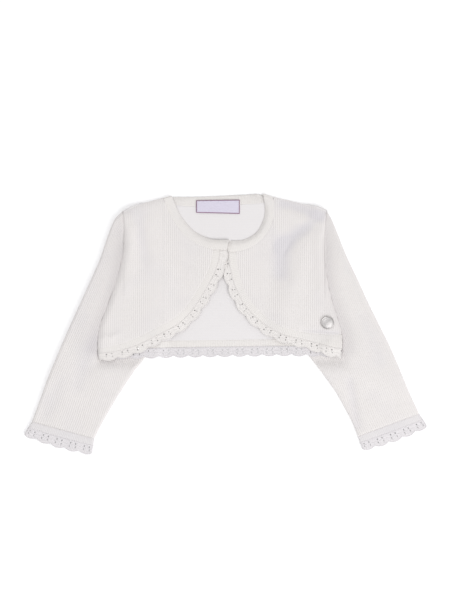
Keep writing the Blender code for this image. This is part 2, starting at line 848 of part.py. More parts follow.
knit = material("knit", (0.86, 0.84, 0.8), 0.95)
inside_knit = material("inside knit", (0.8, 0.8, 0.8), 0.95)
band = material("band", (0.87, 0.85, 0.8), 0.9)
crochet = material("crochet", (0.88, 0.86, 0.82), 0.9)
satin = material("label satin", (0.78, 0.74, 0.86), 0.45)
metal = material("charm metal", (0.66, 0.65, 0.66), 0.28, 1.0)

back(inside_knit)
hem_edging(crochet)
for wearer_side in ("right", "left"):
    sleeve(wearer_side, knit)
    cuff_edging(wearer_side, crochet)
    front(wearer_side, knit)
    front_edging(wearer_side, crochet)
neckband(band)
label(satin)
charm(metal)
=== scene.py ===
# %% [markdown]
# # A baby's cropped cardigan, laid out flat
#
# The real cardigan is knitted in fine off-white yarn and lies face up on a white table, with its
# sleeves folded down. Its fronts curve away from a short closure at the neck, and a crochet
# edging of small arches runs along the fronts, the hem and the cuffs. In this lesson each piece
# of knit is laid over the fixed frame as a thin cloth, the edging is worked in real loops of
# yarn, and the stitches come from the materials.

import math
from collections import namedtuple

import bpy
import numpy as np
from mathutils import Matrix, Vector


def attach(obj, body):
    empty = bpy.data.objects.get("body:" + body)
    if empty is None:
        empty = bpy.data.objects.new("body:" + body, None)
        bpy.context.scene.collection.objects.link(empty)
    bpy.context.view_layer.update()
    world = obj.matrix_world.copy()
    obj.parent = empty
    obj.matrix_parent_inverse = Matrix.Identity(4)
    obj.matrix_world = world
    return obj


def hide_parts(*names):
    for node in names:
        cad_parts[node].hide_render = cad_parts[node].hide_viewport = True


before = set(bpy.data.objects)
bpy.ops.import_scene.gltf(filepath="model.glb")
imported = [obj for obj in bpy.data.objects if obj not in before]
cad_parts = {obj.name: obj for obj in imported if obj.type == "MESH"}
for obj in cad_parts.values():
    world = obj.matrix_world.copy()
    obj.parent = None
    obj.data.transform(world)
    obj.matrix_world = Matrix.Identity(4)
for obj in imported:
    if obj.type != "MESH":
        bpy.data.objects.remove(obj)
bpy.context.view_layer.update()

# %% [markdown]
# ## Sizes
#
# Lengths are in millimetres, as a maker would give them, and turn into metres where a mesh is
# made. The plan is drawn from the middle of the neck, so CENTRE is taken off at the end to bring
# the middle of the outline over the origin.

# %% Sizes of the knit and how its layers lie
MM = 0.001
CENTRE = np.array([-0.25, -0.275])
WALL = 1.4  # the room that one thickness of knit takes
CLOTH = WALL - 0.2  # and the cloth itself
CLEAR = 0.4  # the least air between two layers
FRONT_LOFT = 1.4  # how loosely a front lies on the back
BACK_LIFT = 4.0  # how high the back rises where it lies on a sleeve
SLEEVE_MARGIN, BACK_RAMP, FRONT_RAMP = 9.0, 13.0, 34.0  # it rises from so far beside the sleeve
SLEEVE_UNDER, SLEEVE_CREASE, SLEEVE_OPEN = 3.6, 6.6, 8.4  # its height beneath, at and beside the body
SLEEVE_CUFF, CUFF_LEVEL, CUFF_RAMP = 5.0, -118.0, 60.0  # and at its cuff
SLEEVE_CAP, CAP_REACH = 8.3, 24.0  # and where it is sewn at the shoulder tip
SLEEVE_RISE = 17.0  # it takes this far to rise beside the body
CREASE_START, CREASE_WIDTH = (1.35, 4.0), (1.2, 14.0)  # its crease beside the body and at a corner
CORNER_TOP, CORNER_REACH = -28.0, 10.0  # a corner of the body starts at this height
BODY_BOTTOM, BOTTOM_REACH = -40.0, 16.0  # and here the body ends
EDGE_PUFF, EDGE_PUFF_REACH = 1.1, 16.0  # the swell of a front beside its fold
FOLD_REACH = 2.8  # a folded edge rolls over this much wider than it is high
SHOULDER_SOFT = {"right": 1.4, "left": 2.4}  # and at the shoulders so much wider again
LEAST_RADIUS = 0.3
ARMHOLE = 84.0, 34.0  # above this the fronts are sewn to the sleeves, fully after so much more
SEWN_DIP = 1.3  # how far a front's edge dips at the armhole
CLOSURE_RISE = 1.5  # the right front's rise where it laps over the left one
CLOSURE_START, CLOSURE_REACH = -38.0, 30.0  # it starts here across, and is full so much later
CLOSURE_FOOT, CLOSURE_HEIGHT = 16.0, 34.0  # and the same upwards
WALE, COURSE = 2.36, 1.9  # one stitch is this wide and this high
STITCH_COLUMNS = 4  # columns of the mesh in each wale
TUCK = 0.8  # a piece runs on this far under the one it is sewn to
WAY = {"right": -1, "left": 1}  # which way a side lies from the middle
SIDES = ("right", "left")
print("A stitch is", WALE, "by", COURSE, "mm")

# %% [markdown]
# ## Plan curves
#
# A cutter would draw the cardigan as a few curves on paper. Each is a short list of points,
# joined by a smooth line that leaves every point along its neighbours' chord. Left and right are
# the wearer's.

# %% The outline of every piece
SHOULDER = {  # from the tip to the neckband's outer edge
    "right": ((-118, 127.5), (-106.5, 133.5), (-96.5, 137.5), (-85, 141), (-72, 144.5)),
    "left": ((115.5, 129), (104, 133.5), (90, 137), (76, 140.5), (54.5, 145.5)),
}
SIDE = {  # from the shoulder tip down the folded side
    "right": (
        (-118, 127.5), (-116.5, 112), (-117, 90.5), (-120.5, 67.5), (-127, 45.5),
        (-134.5, 23.5), (-143, 1.5), (-147, -19), (-147, -29), (-144.6, -48),
    ),
    "left": (
        (115.5, 129), (114, 112), (113.5, 90.5), (114, 70.5), (116.5, 50),
        (120.5, 30.5), (126, 12), (131, -4), (133.8, -16), (133.5, -30), (133, -48),
    ),
}  # fmt: skip
NECK = {  # the neckband's inner edge, from the centre front to the shoulder
    "right": (
        (4, 96.5), (-16, 97), (-32, 103.5), (-41, 111), (-48, 119.5), (-54.5, 129.5), (-62, 147),
    ),
    "left": (
        (-8, 95.6), (12, 95.6), (21, 96.6), (28.5, 100), (35, 104.7), (40, 112), (44, 122),
        (45, 133), (42.5, 149.5),
    ),
}  # fmt: skip
NECK_SEAM = {  # its outer edge, the same way
    "right": (
        (1.4, 84.5), (-15, 85), (-29.5, 89.5), (-40.5, 95.5), (-50.5, 104), (-58.5, 114.5),
        (-66, 128), (-72, 144.5),
    ),
    "left": (
        (-8, 82.5), (12, 82.5), (23.5, 85), (32.5, 89.5), (41, 96), (48, 104), (53, 114.5),
        (56, 128), (54.5, 145.5),
    ),
}  # fmt: skip
FRONT_SEAM = {  # between a front and its edging, from the neckband to the side
    "right": (
        (-15, 84.5), (-17, 72), (-22.5, 57), (-31, 42), (-41, 26), (-52, 12.5), (-65.5, 2.5),
        (-80.5, -5), (-94, -12), (-109.5, -19), (-126, -24.5), (-147.2, -28.5),
    ),
    "left": (
        (12, 82), (13.5, 68.5), (18, 49), (26.5, 30.5), (37, 17), (48, 7), (61, -1), (75, -6.5),
        (92, -9.8), (110, -11.6), (134, -13.2),
    ),
}  # fmt: skip
BACK_NECK = (
    (-62, 147), (-55, 145.4), (-45, 145.2), (-20, 145.8), (10, 147.2), (27, 148.2), (42.5, 149.5),
)  # fmt: skip
BACK_NECK_SEAM = (
    (-72, 144.5), (-70.8, 140.8), (-65.5, 137), (-47, 134), (-20, 134.3), (10, 135.7),
    (32, 136.8), (47.5, 139), (52.8, 141.8), (54.5, 145.5),
)  # fmt: skip
HEM_SEAM = ((-145.4, -21.5), (-90, -20), (0, -18.5), (85, -17.5), (132.4, -19.5))
SLEEVE = {  # outer x, outer y, inner x, inner y, from the end under the body to the cuff
    "right": (
        (-118.8, 128.4, -87.5, 25), (-127, 120.5, -85, 11), (-132, 110, -83.5, -2),
        (-136.5, 97.5, -83.5, -15), (-144.5, 74, -87, -29.5), (-155, 50, -95.5, -43),
        (-167, 23.5, -104.5, -54), (-179.5, -4, -113.5, -67.5), (-192, -33, -124, -83.5),
        (-203.5, -60.5, -133.5, -99.5), (-213.5, -88, -142.5, -115.5), (-222.5, -112.5, -151, -132),
    ),
    "left": (
        (115.9, 129, 85, 27), (121.5, 119.5, 83, 13), (127, 106.5, 82, -1),
        (131.5, 95, 82.5, -12.5), (138.5, 77.5, 85.5, -24.5), (150, 53.5, 95.5, -37.5),
        (162.5, 26, 106, -51), (175, 0.5, 116.5, -65), (187.5, -24.5, 127, -80),
        (199, -51, 136.5, -97), (210.5, -79, 144.5, -112), (222, -103.5, 151.5, -129.5),
    ),
}  # fmt: skip
CUFF_EDGE = {"right": (-231, -126, -153.5, -148), "left": (230.5, -116.5, 156.5, -143.5)}
LABEL_CORNERS = ((-34, 141.5), (16, 142.3), (-34, 127.3), (16, 126))
outlines = SHOULDER, SIDE, NECK, NECK_SEAM, FRONT_SEAM, SLEEVE
print("The outlines have", sum(len(table[side]) for table in outlines for side in SIDES), "points")

# %% A plan curve that is read by the share of its length
KNOT_STEPS = 12  # points on the curve from one given point to the next
SMOOTHING = 2.0  # normals are read over this much of the curve on each side


class Line:
    def __init__(self, points):
        self.points = np.array(points, float)
        steps = np.linalg.norm(np.diff(self.points, axis=0), axis=1)
        self.run = np.concatenate([[0.0], np.cumsum(steps)])
        self.length = self.run[-1]

    def at(self, share):
        far = np.clip(share, 0, 1) * self.length
        return np.stack([np.interp(far, self.run, self.points[:, i]) for i in (0, 1)], -1)

    def left(self, share):
        """The unit normal on the left of the way the curve runs."""
        step = SMOOTHING / self.length
        run = self.at(share + step) - self.at(share - step)
        run /= np.linalg.norm(run, axis=-1, keepdims=True)
        return np.stack([-run[..., 1], run[..., 0]], -1)

    def moved(self, away):
        """The curve moved to its left by a fixed amount."""
        shares = self.run / self.length
        return Line(self.at(shares) + self.left(shares) * away)

    def x_at(self, y):
        """Where a curve that runs down crosses a height."""
        order = np.argsort(self.points[:, 1], kind="stable")
        return np.interp(y, self.points[order, 1], self.points[order, 0])

    def nearest(self, x, y):
        """How far each place is from the curve, below zero on its right."""
        place = np.stack([np.ravel(x), np.ravel(y)], -1)[:, None]
        start, run = self.points[:-1], np.diff(self.points, axis=0)
        away = place - start
        share = np.clip((away * run).sum(-1) / (run**2).sum(-1), 0, 1)
        gap = away - share[..., None] * run
        far = (gap**2).sum(-1)
        best = far.argmin(1)
        rows = np.arange(len(best))
        turn = run[best, 0] * gap[rows, best, 1] - run[best, 1] * gap[rows, best, 0]
        return (np.sqrt(far[rows, best]) * np.where(turn < 0, -1, 1)).reshape(np.shape(x))


def curve(points):
    knots = np.array(points, float)
    ends = np.concatenate([[2 * knots[0] - knots[1]], knots, [2 * knots[-1] - knots[-2]]])
    found = [knots[:1]]
    t = (np.arange(1, KNOT_STEPS + 1) / KNOT_STEPS)[:, None]
    for before, start, end, after in zip(ends, ends[1:], ends[2:], ends[3:]):
        leave, arrive = (end - before) / 2, (after - start) / 2
        found.append(
            (2 * t**3 - 3 * t**2 + 1) * start
            + (t**3 - 2 * t**2 + t) * leave
            + (3 * t**2 - 2 * t**3) * end
            + (t**3 - t**2) * arrive
        )
    return Line(np.concatenate(found))


side_line, shoulder_line, neck_line, neck_seam, front_seam = (
    {side: curve(table[side]) for side in SIDES}
    for table in (SIDE, SHOULDER, NECK, NECK_SEAM, FRONT_SEAM)
)
HIDDEN = 3.5  # the edgings run on this far beneath the neckband
for side in SIDES:
    first, second = front_seam[side].points[:2]
    start = first + (first - second) / np.linalg.norm(first - second) * HIDDEN
    front_seam[side] = Line(np.concatenate([[start], front_seam[side].points]))
sleeve_outer = {side: curve([row[:2] for row in SLEEVE[side]]) for side in SIDES}
sleeve_inner = {side: curve([row[2:] for row in SLEEVE[side]]) for side in SIDES}
sleeve_top_line = {
    side: curve([SLEEVE[side][0][:2]] + [row[2:] for row in SLEEVE[side]]) for side in SIDES
}
for side in SIDES:
    print("The", side, "front's seam is", round(front_seam[side].length), "mm long")

# %% [markdown]
# ## How the layers lie
#
# Nothing here is draped by a simulation, because a garment that was smoothed out by hand for a
# photograph is a stack of known layers: the back, the sleeves that come out from under it, and
# the fronts. One function gives the height of each layer at any place, and every piece of knit,
# yarn or metal asks it where to lie. Soft folds are bumps along short lines.

# %% Soft folds of the fronts and sleeves
Fold = namedtuple("Fold", "x1 y1 x2 y2 height spread")
FRONT_FOLDS = {
    "right": (
        Fold(-112, 130, -92, 126, -1.0, 7),
        Fold(-100, 116, -92, 78, -1.3, 8),
        Fold(-86, 122, -80, 70, 0.7, 9),
        Fold(-108, 108, -113, 40, 1.2, 7),
        Fold(-139, -15, -132, -17, 1.4, 4.5),
        Fold(-128, -13.5, -123, -12.5, 0.9, 3.4),
        Fold(-60, 60, -90, 10, 0.5, 16),
        Fold(-45, 66, -64, 34, -0.5, 9),
    ),
    "left": (
        Fold(66, 138, 110, 124, -1.2, 7),
        Fold(72, 126, 104, 116, 0.7, 6),
        Fold(103, 120, 64, 88, -1.5, 8),
        Fold(64, 90, 63, 58, -1.3, 11),
        Fold(92, 90, 84, 50, 0.6, 10),
        Fold(107, 104, 110, 40, 1.2, 7),
        Fold(112, -27, 128, -26, 2.6, 8),
        Fold(88, -7.5, 128, -10.5, -0.7, 2.2),
        Fold(118, -20, 120, -36, 0.8, 4),
        Fold(106, -24, 108, -36, -1.2, 3),
        Fold(126, -22, 130, -36, -1.0, 3),
        Fold(62, 40, 90, 5, 0.5, 16),
        Fold(4.4, 97, 3.8, 90, -1.2, 1.5),
        Fold(2.4, 86, 0.2, 81, -1.2, 1.5),
        Fold(0.6, 78, 1.4, 66, -1.2, 1.5),
    ),
}
SLEEVE_FOLDS = {
    "right": (
        Fold(-152, -20, -170, -70, -1.0, 9),
        Fold(-190, -66, -206, -104, -0.8, 8),
        Fold(-136, -52, -150, -92, 0.6, 9),
        Fold(-150, 60, -176, -6, -0.6, 10),
    ),
    "left": (
        Fold(142, -66, 151, -117, -1.4, 5),
        Fold(160, 8, 176, -44, -0.9, 9),
        Fold(196, -64, 208, -92, 0.6, 8),
        Fold(152, 52, 170, 4, 0.5, 9),
    ),
}


def smooth(value):
    value = np.clip(value, 0, 1)
    return value * value * (3 - 2 * value)


def mix(a, b, share):
    return a + (b - a) * share


def folds(table, x, y):
    total = np.zeros(np.shape(x))
    for fold in table:
        run_x, run_y = fold.x2 - fold.x1, fold.y2 - fold.y1
        share = ((x - fold.x1) * run_x + (y - fold.y1) * run_y) / (run_x**2 + run_y**2)
        share = np.clip(share, 0, 1)
        away = (x - fold.x1 - share * run_x) ** 2 + (y - fold.y1 - share * run_y) ** 2
        total += fold.height * np.exp(-away / fold.spread**2)
    return total


for side in SIDES:
    print("The", side, "front has", len(FRONT_FOLDS[side]), "soft folds")


# %% [markdown]
# Each height is a sum of simple parts: the walls beneath, a smooth ramp where the body climbs onto
# a sleeve, a swell beside a fold, and the soft folds. A loose folded edge falls along a quarter of
# an oval. Where the body presses on a sleeve its edge is squeezed, so it ends in a slope, and the
# sleeve comes up to meet it.


# %% The height of each layer
def over_sleeve(x, y, ramp):
    inner = np.where(x < 0, sleeve_top_line["right"].x_at(y), sleeve_top_line["left"].x_at(y))
    return smooth((abs(x) - abs(inner) + SLEEVE_MARGIN + ramp) / ramp)


def back_under(x, y):
    """The back's outer face, which is turned down."""
    return BACK_LIFT * over_sleeve(x, y, BACK_RAMP)


def beside_body(side, x, y):
    """How far out from the body's folded side a place is, below zero inside it."""
    return abs(x) - abs(side_line[side].x_at(y))


def front_top(side, x, y):
    """A front's outer face, away from its edges."""
    inside = np.maximum(-beside_body(side, x, y), 0)
    puff = EDGE_PUFF * np.exp(-((inside / EDGE_PUFF_REACH) ** 2))
    lift = BACK_LIFT * over_sleeve(x, y, FRONT_RAMP)
    height = 2 * WALL + FRONT_LOFT + lift + puff + folds(FRONT_FOLDS[side], x, y)
    if side == "right":
        along = smooth((x - CLOSURE_START) / CLOSURE_REACH)
        height += CLOSURE_RISE * along * smooth((y - CLOSURE_FOOT) / CLOSURE_HEIGHT)
    return np.maximum(height, back_under(x, y) + 2 * WALL + CLEAR)


def at_armhole(y):
    return smooth((y - ARMHOLE[0]) / ARMHOLE[1])


def sleeve_top(side, x, y):
    """A sleeve's upper face, which is pressed down beneath the body."""
    beside, below = beside_body(side, x, y), BODY_BOTTOM - y
    corner = smooth((CORNER_TOP - y) / CORNER_REACH)
    crease = smooth((beside + mix(*CREASE_START, corner)) / mix(*CREASE_WIDTH, corner))
    crease = np.maximum(crease, smooth(below / BOTTOM_REACH))
    risen = smooth((np.maximum(beside, below) - 0.5) / SLEEVE_RISE)
    tip_x, tip_y = SHOULDER[side][0]
    cap = np.exp(-((x - tip_x) ** 2 + (y - tip_y) ** 2) / CAP_REACH**2)
    full = mix(SLEEVE_CUFF, SLEEVE_OPEN, smooth((y - CUFF_LEVEL) / CUFF_RAMP))
    full = mix(full, SLEEVE_CAP, cap)
    low = mix(SLEEVE_UNDER, mix(SLEEVE_CREASE, SLEEVE_CAP - 0.5, at_armhole(y)), crease)
    return mix(low, np.maximum(full, low), risen) + risen * folds(SLEEVE_FOLDS[side], x, y)


def edge_gaps(side, x, y):
    """How far in from the folded side and from the shoulder a place is."""
    return abs(side_line[side].nearest(x, y)), abs(shoulder_line[side].nearest(x, y))


def oval_fall(part):
    """The share of a fold's height that is lost so far in from its edge, from 0 to 1."""
    return 1 - np.sqrt(1 - (1 - np.clip(part, 0, 1)) ** 2)


def pressed(radius, gap, reach):
    """How far a squeezed edge has fallen, so far in from it."""
    return radius * (1 - np.clip(gap / radius / reach, 0, 1)) ** 2


def front_face(side, x, y):
    top, under = front_top(side, x, y), back_under(x, y)
    radius = np.maximum((top - under) / 2, LEAST_RADIUS)
    to_side, to_shoulder = edge_gaps(side, x, y)
    beside = pressed(mix(radius, SEWN_DIP, at_armhole(y)), to_side, FOLD_REACH)
    return top - np.maximum(beside, pressed(radius, to_shoulder, FOLD_REACH * SHOULDER_SOFT[side]))


def back_face(x, y):
    face = np.zeros(np.shape(x))
    under = back_under(x, y)
    for side in SIDES:
        radius = np.maximum((front_top(side, x, y) - under) / 2, LEAST_RADIUS)
        turned = under + radius * oval_fall(np.minimum(*edge_gaps(side, x, y)) / radius)
        face = np.where((x < 0) == (side == "right"), turned, face)
    return face


middle_height = front_top("left", np.array(60.0), np.array(60.0))
print("The fronts stand", round(float(middle_height), 1), "mm high")

# %% [markdown]
# ## Making cloth from a grid
#
# Cloth is a grid of points with a wall, which a Solidify modifier adds. The grid's second set of
# coordinates counts stitches, in wales across and in courses along, so that the material can knit
# each stitch in its own place however the cloth curves. A grid may also hold a painted shade for
# each point, a number that the material reads by its name.


# %% A helper that turns a grid into a piece
def only(piece):
    bpy.ops.object.select_all(action="DESELECT")
    piece.select_set(True)
    bpy.context.view_layer.objects.active = piece


def put(name, data):
    """A new object in the scene that shows a mesh, a lamp or a camera."""
    piece = bpy.data.objects.new(name, data)
    bpy.context.scene.collection.objects.link(piece)
    return piece


def link(name, points, faces, finish):
    mesh = bpy.data.meshes.new(name)
    places = np.array(points, float)
    places[:, :2] -= CENTRE
    mesh.from_pydata((places * MM).tolist(), [], faces)
    mesh.materials.append(finish)
    piece = put(name, mesh)
    only(piece)
    return piece


def grid_piece(
    name, points, stitches, finish, wall, flip, wrap=False, inside=None, left_open=None, shades=None
):
    """points is rows by columns by 3, and stitches holds a pair of counts for each point."""
    rows, columns = points.shape[:2]
    index = np.arange(rows * columns).reshape(rows, columns)
    counts = np.arange(rows * stitches.shape[1]).reshape(rows, -1)
    if wrap:
        index = np.concatenate([index, index[:, :1]], axis=1)
    first, last = slice(None, -1), slice(1, None)
    corners = [(first, first), (first, last), (last, last), (last, first)]
    if flip:
        corners.reverse()
    kept = slice(None) if left_open is None else ~left_open.ravel()
    quads = np.stack([index[c] for c in corners], -1).reshape(-1, 4)[kept]
    piece = link(name, points.reshape(-1, 3), quads.tolist(), finish)
    layer = piece.data.uv_layers.new(name="Stitches")
    picked = np.stack([counts[c] for c in corners], -1).reshape(-1, 4)[kept].ravel()
    layer.data.foreach_set("uv", stitches.reshape(-1, 2)[picked].astype(np.float32).ravel())
    for kind, amount in (shades or {}).items():
        shade = piece.data.attributes.new(kind, "FLOAT", "POINT")
        shade.data.foreach_set("value", amount.astype(np.float32).ravel())
    modifier = piece.modifiers.new("wall", "SOLIDIFY")
    modifier.thickness = wall * MM
    modifier.offset = -1
    if inside:
        piece.data.materials.append(inside)
        modifier.material_offset = 1
    bpy.ops.object.modifier_apply(modifier=modifier.name)
    bpy.ops.object.shade_smooth()
    print(name, sum(len(face.vertices) - 2 for face in piece.data.polygons), "triangles")
    return piece


# %% [markdown]
# ## Shader maths
#
# A node tree is easier to read as a formula. Value wraps one socket that holds a number, and its
# operators add Math nodes. Everything else comes from one method that makes a node, sets it and
# joins its inputs.


# %% Shader helpers
class Value:
    def __init__(self, finish, socket):
        self.finish, self.socket = finish, socket

    def math(self, operation, *others):
        node = self.finish.node(
            "ShaderNodeMath", {"operation": operation}, dict(enumerate([self, *others]))
        )
        return Value(self.finish, node.outputs[0])

    def __add__(self, other):
        return self.math("ADD", other)

    def __sub__(self, other):
        return self.math("SUBTRACT", other)

    def __rsub__(self, other):
        return self * -1 + other

    def __mul__(self, other):
        return self.math("MULTIPLY", other)

    def __abs__(self):
        return self.math("ABSOLUTE")

    __radd__, __rmul__ = __add__, __mul__

    def part(self):
        return self.math("FRACT")

    def sine(self):
        return self.math("SINE")

    def step(self, low, high):
        """0 below low, 1 above high and smooth between them."""
        settings = {"interpolation_type": "SMOOTHSTEP"}
        node = self.finish.node("ShaderNodeMapRange", settings, {0: self, 1: low, 2: high})
        return Value(self.finish, node.outputs[0])


class Finish:
    """A material under construction: a Principled shader and the nodes that feed it."""

    def __init__(self, name, **constants):
        self.material = bpy.data.materials.new(name)
        self.material.use_nodes = True
        self.tree = self.material.node_tree
        self.shader = self.tree.nodes["Principled BSDF"]
        for socket, value in constants.items():
            self.feed(socket.replace("_", " "), value)

    def node(self, kind, settings=None, inputs=None):
        node = self.tree.nodes.new(kind)
        for name, value in (settings or {}).items():
            setattr(node, name, value)
        for key, value in (inputs or {}).items():
            self.join(value, node.inputs[key])
        return node

    def join(self, value, socket):
        """Sets a socket to a number or a colour, or links a value or a socket to it."""
        if isinstance(value, Value):
            value = value.socket
        if isinstance(value, bpy.types.NodeSocket):
            self.tree.links.new(value, socket)
        elif isinstance(value, tuple):
            socket.default_value = (*value, 1)
        else:
            socket.default_value = value

    def feed(self, name, value):
        self.join(value, self.shader.inputs[name])

    def stitches(self):
        """How many wales across and courses along a point is."""
        place = self.node("ShaderNodeUVMap", {"uv_map": "Stitches"})
        split = self.node("ShaderNodeSeparateXYZ", None, {0: place.outputs[0]})
        return Value(self, split.outputs[0]), Value(self, split.outputs[1])

    def read(self, shade):
        """A shade that the mesh holds for each point, or 0 where it holds none."""
        node = self.node("ShaderNodeAttribute", {"attribute_name": shade})
        return Value(self, node.outputs["Fac"])

    def noise(self, size, detail=2.0, roughness=0.5):
        """Soft noise from 0 to 1, whose grains are about size millimetres."""
        place = self.node("ShaderNodeTexCoord").outputs["Object"]
        inputs = {"Vector": place, "Scale": 1 / (size * MM), "Detail": detail, "Roughness": roughness}
        return Value(self, self.node("ShaderNodeTexNoise", None, inputs).outputs[0])

    def colour(self, share, first, second, blend="MIX"):
        """Two colours mixed by a share, or the first one tinted by the second with MULTIPLY."""
        settings = {"data_type": "RGBA", "blend_type": blend}
        return self.node("ShaderNodeMix", settings, {0: share, 6: first, 7: second}).outputs[2]

    def bump(self, height, depth):
        """Raises the surface by height, whose whole range is depth millimetres."""
        node = self.node("ShaderNodeBump", None, {"Height": height, "Distance": depth * MM})
        self.feed("Normal", node.outputs[0])


def soft_yarn(name, sheen=0.25):
    """What every finish of yarn starts from: matt, with the faint bloom of loose fibres."""
    constants = {"Roughness": 0.9, "Sheen_Roughness": 0.5, "Specular_IOR_Level": 0.2}
    return Finish(name, Sheen_Weight=sheen, **constants)


# %% [markdown]
# ## Knit
#
# On its right side, stocking stitch is a column of small Vs. Each leg of a V is a bit of yarn
# that leans outwards as it climbs, and the gaps beside the wale and between its two legs are
# painted darker, as shade. The mesh already has a ridge for each wale, so the bump only has to add
# the legs.
#
# Off-white cloth shows its folds by soft shade, and part of that shade is painted here: a trough
# gets a painted cool shade, and a place that faces the fold beside it gets a painted grey shade.
# The mesh says where, by two shades that it holds for each point, and the finish multiplies its
# colour by a tint there.


# %% The right side of the knit
LEAN = 0.55  # how far a leg climbs as it leans out
# The first tint is the cloth's random cool tone and also the painted cool shade in troughs; the
# second is the painted shade beside folds.
COOL_TONE_AND_SHADE = (0.90, 0.905, 0.95)  # what a cool patch of cloth is multiplied by
HOLLOW_PAINTED_SHADE = (0.885, 0.88, 0.89)  # and what the deepest hollow is multiplied by


def stocking_stitch(finish):
    wales, courses = finish.stitches()
    uneven = finish.noise(7, 1.0) * 1.2
    aside = abs((wales.part() - 0.5) * 2)  # 0 in the middle of a wale and 1 between two
    climb = (courses + uneven - aside * LEAN).part() * 2 - 1
    leg = 1 - climb * climb
    # The gaps beside a wale and between its legs are painted darker as shade, by the same numbers
    # that make the bump.
    gap = aside.step(0.5, 1.0) * (1 - leg * 0.5)
    split = aside.step(0.3, 0.0) * (1 - leg * 0.5)
    return 1 - gap * 0.8 - split * 0.25 - (1 - leg) * 0.25


def knitted(name, light, dark, depth):
    finish = soft_yarn(name)
    stitch = stocking_stitch(finish)
    shade = stitch * 0.7 + finish.noise(22) * 0.3
    plain = finish.colour(shade.step(0.1, 0.85), dark, light)
    # Painted shade: the mesh's cool shade for troughs is added to random cool patches of tone, and
    # its grey shade beside folds is multiplied in.
    cool = finish.noise(34, 1.0).step(0.45, 0.75) * 0.2 + finish.read("PaintedCoolShade")
    cooled = finish.colour(cool, plain, COOL_TONE_AND_SHADE, "MULTIPLY")
    finish.feed("Base Color", finish.colour(finish.read("PaintedShade"), cooled, HOLLOW_PAINTED_SHADE, "MULTIPLY"))
    finish.bump(stitch + finish.noise(0.5, 3.0) * 0.35, depth)
    return finish.material


knit = knitted("knit", (0.86, 0.827, 0.816), (0.775, 0.74, 0.732), 0.36)
band_knit = knitted("band knit", (0.872, 0.84, 0.818), (0.80, 0.768, 0.746), 0.34)
# A darker, cooler copy of the band knit, as painted shade for the cuffs that lie low on the table.
shaded_cuff_knit = knitted("shaded cuff knit", (0.808, 0.782, 0.79), (0.742, 0.716, 0.724), 0.34)
print("The knit's tree has", len(knit.node_tree.nodes), "nodes")

# %% [markdown]
# The inside of the back shows the purl side: rows of small half rings instead of Vs. It looks
# flatter and a little cooler, so its bump is shallow and its colour is near grey.


# %% The wrong side of the knit
def purl_stitch(finish):
    wales, courses = finish.stitches()
    wave = (wales * math.tau).sine() * 0.22
    row = (courses + wave).part() * 2 - 1
    return 1 - row * row


def purled(name, light, dark, depth):
    finish = soft_yarn(name, sheen=0.2)
    stitch = purl_stitch(finish)
    # The grooves between the rows are painted darker, as shade.
    shade = (stitch * 0.6 + finish.noise(25) * 0.4).step(0.0, 0.9)
    finish.feed("Base Color", finish.colour(shade, dark, light))
    finish.bump(stitch + finish.noise(0.6, 3.0) * 0.4, depth)
    return finish.material


purl = purled("purl", (0.838, 0.814, 0.818), (0.803, 0.779, 0.784), 0.12)
print("The purl side's tree has", len(purl.node_tree.nodes), "nodes")

# %% [markdown]
# ## The fronts
#
# Each front is one sweep of knit whose wales run straight up. So the mesh is made as the knitter
# makes it: four columns of points for each wale, cut off by the outline above and below. The
# outer columns lean with the side, and the cloth rolls over at the folds and dips at the seams.

# %% Columns of knit within an outline
RIDGE = 0.28  # how far a wale stands up
RIDGE_SHAPE = (0.0, 0.75, 1.0, 0.75)  # over one wale, from a gap
TOP_ROWS = (0.0, 0.35, 0.8, 1.4, 2.2, 3.2)  # rows lie closer together at an edge
LOW_ROWS = (0.0, 0.4, 0.8, 1.2, 1.7, 2.4)
ROW_STEP = 2.2
SEAM_DEPTH, SEAM_REACH = 0.4, 1.7  # how far a piece dips where it is sewn, and how wide
LEAN_REACH = 40.0  # the columns this near the side lean with it
NOWHERE = 1e9  # the height of a crossing that isn't there
SHORTEST = 0.05  # a column that is shorter is left out


def crossing(line, x, highest):
    """Where a plan curve crosses each x: its highest crossing, or its lowest."""
    start, end = line.points[:-1], line.points[1:]
    run = end[:, 0] - start[:, 0]
    run = np.where(abs(run) < 1e-9, 1e-9, run)
    share = (x[:, None] - start[:, 0]) / run
    y = start[:, 1] + share * (end[:, 1] - start[:, 1])
    inside = (share >= -1e-9) & (share <= 1 + 1e-9)
    found = np.where(inside, y, -NOWHERE if highest else NOWHERE)
    return found.max(1) if highest else found.min(1)


def whole(low, high):
    """Which columns the outline cuts off both above and below."""
    return (high > -NOWHERE / 10) & (low < NOWHERE / 10) & (high - low > SHORTEST)


def spaced_rows(low, high, count):
    """Heights of the rows in each column, close together at both ends."""
    room = high - low
    fit = np.minimum(1, room / (2 * (TOP_ROWS[-1] + LOW_ROWS[-1])))[:, None]
    bottom = low[:, None] + np.array(LOW_ROWS) * fit
    top = high[:, None] - np.array(TOP_ROWS[::-1]) * fit
    middle = mix(bottom[:, -1:], top[:, :1], np.arange(1, count) / count)
    return np.concatenate([bottom, middle, top], axis=1).T


def sewn(gap):
    """How far a piece dips where it is sewn to the next one."""
    return SEAM_DEPTH * (1 - smooth((gap + TUCK) / SEAM_REACH))


def wale_columns(first, last):
    """The x of each column from first to last, on whole quarters of a wale, and their counts."""
    step = WALE / STITCH_COLUMNS
    counts = np.arange(math.ceil(first / step), math.floor(last / step) + 1)
    return counts * step, counts


def ridge(counts):
    return RIDGE * np.array(RIDGE_SHAPE)[counts % STITCH_COLUMNS]


def waist(side):
    """Where a folded side comes nearest the middle."""
    points = side_line[side].points
    return points[abs(points[:, 0]).argmin()]


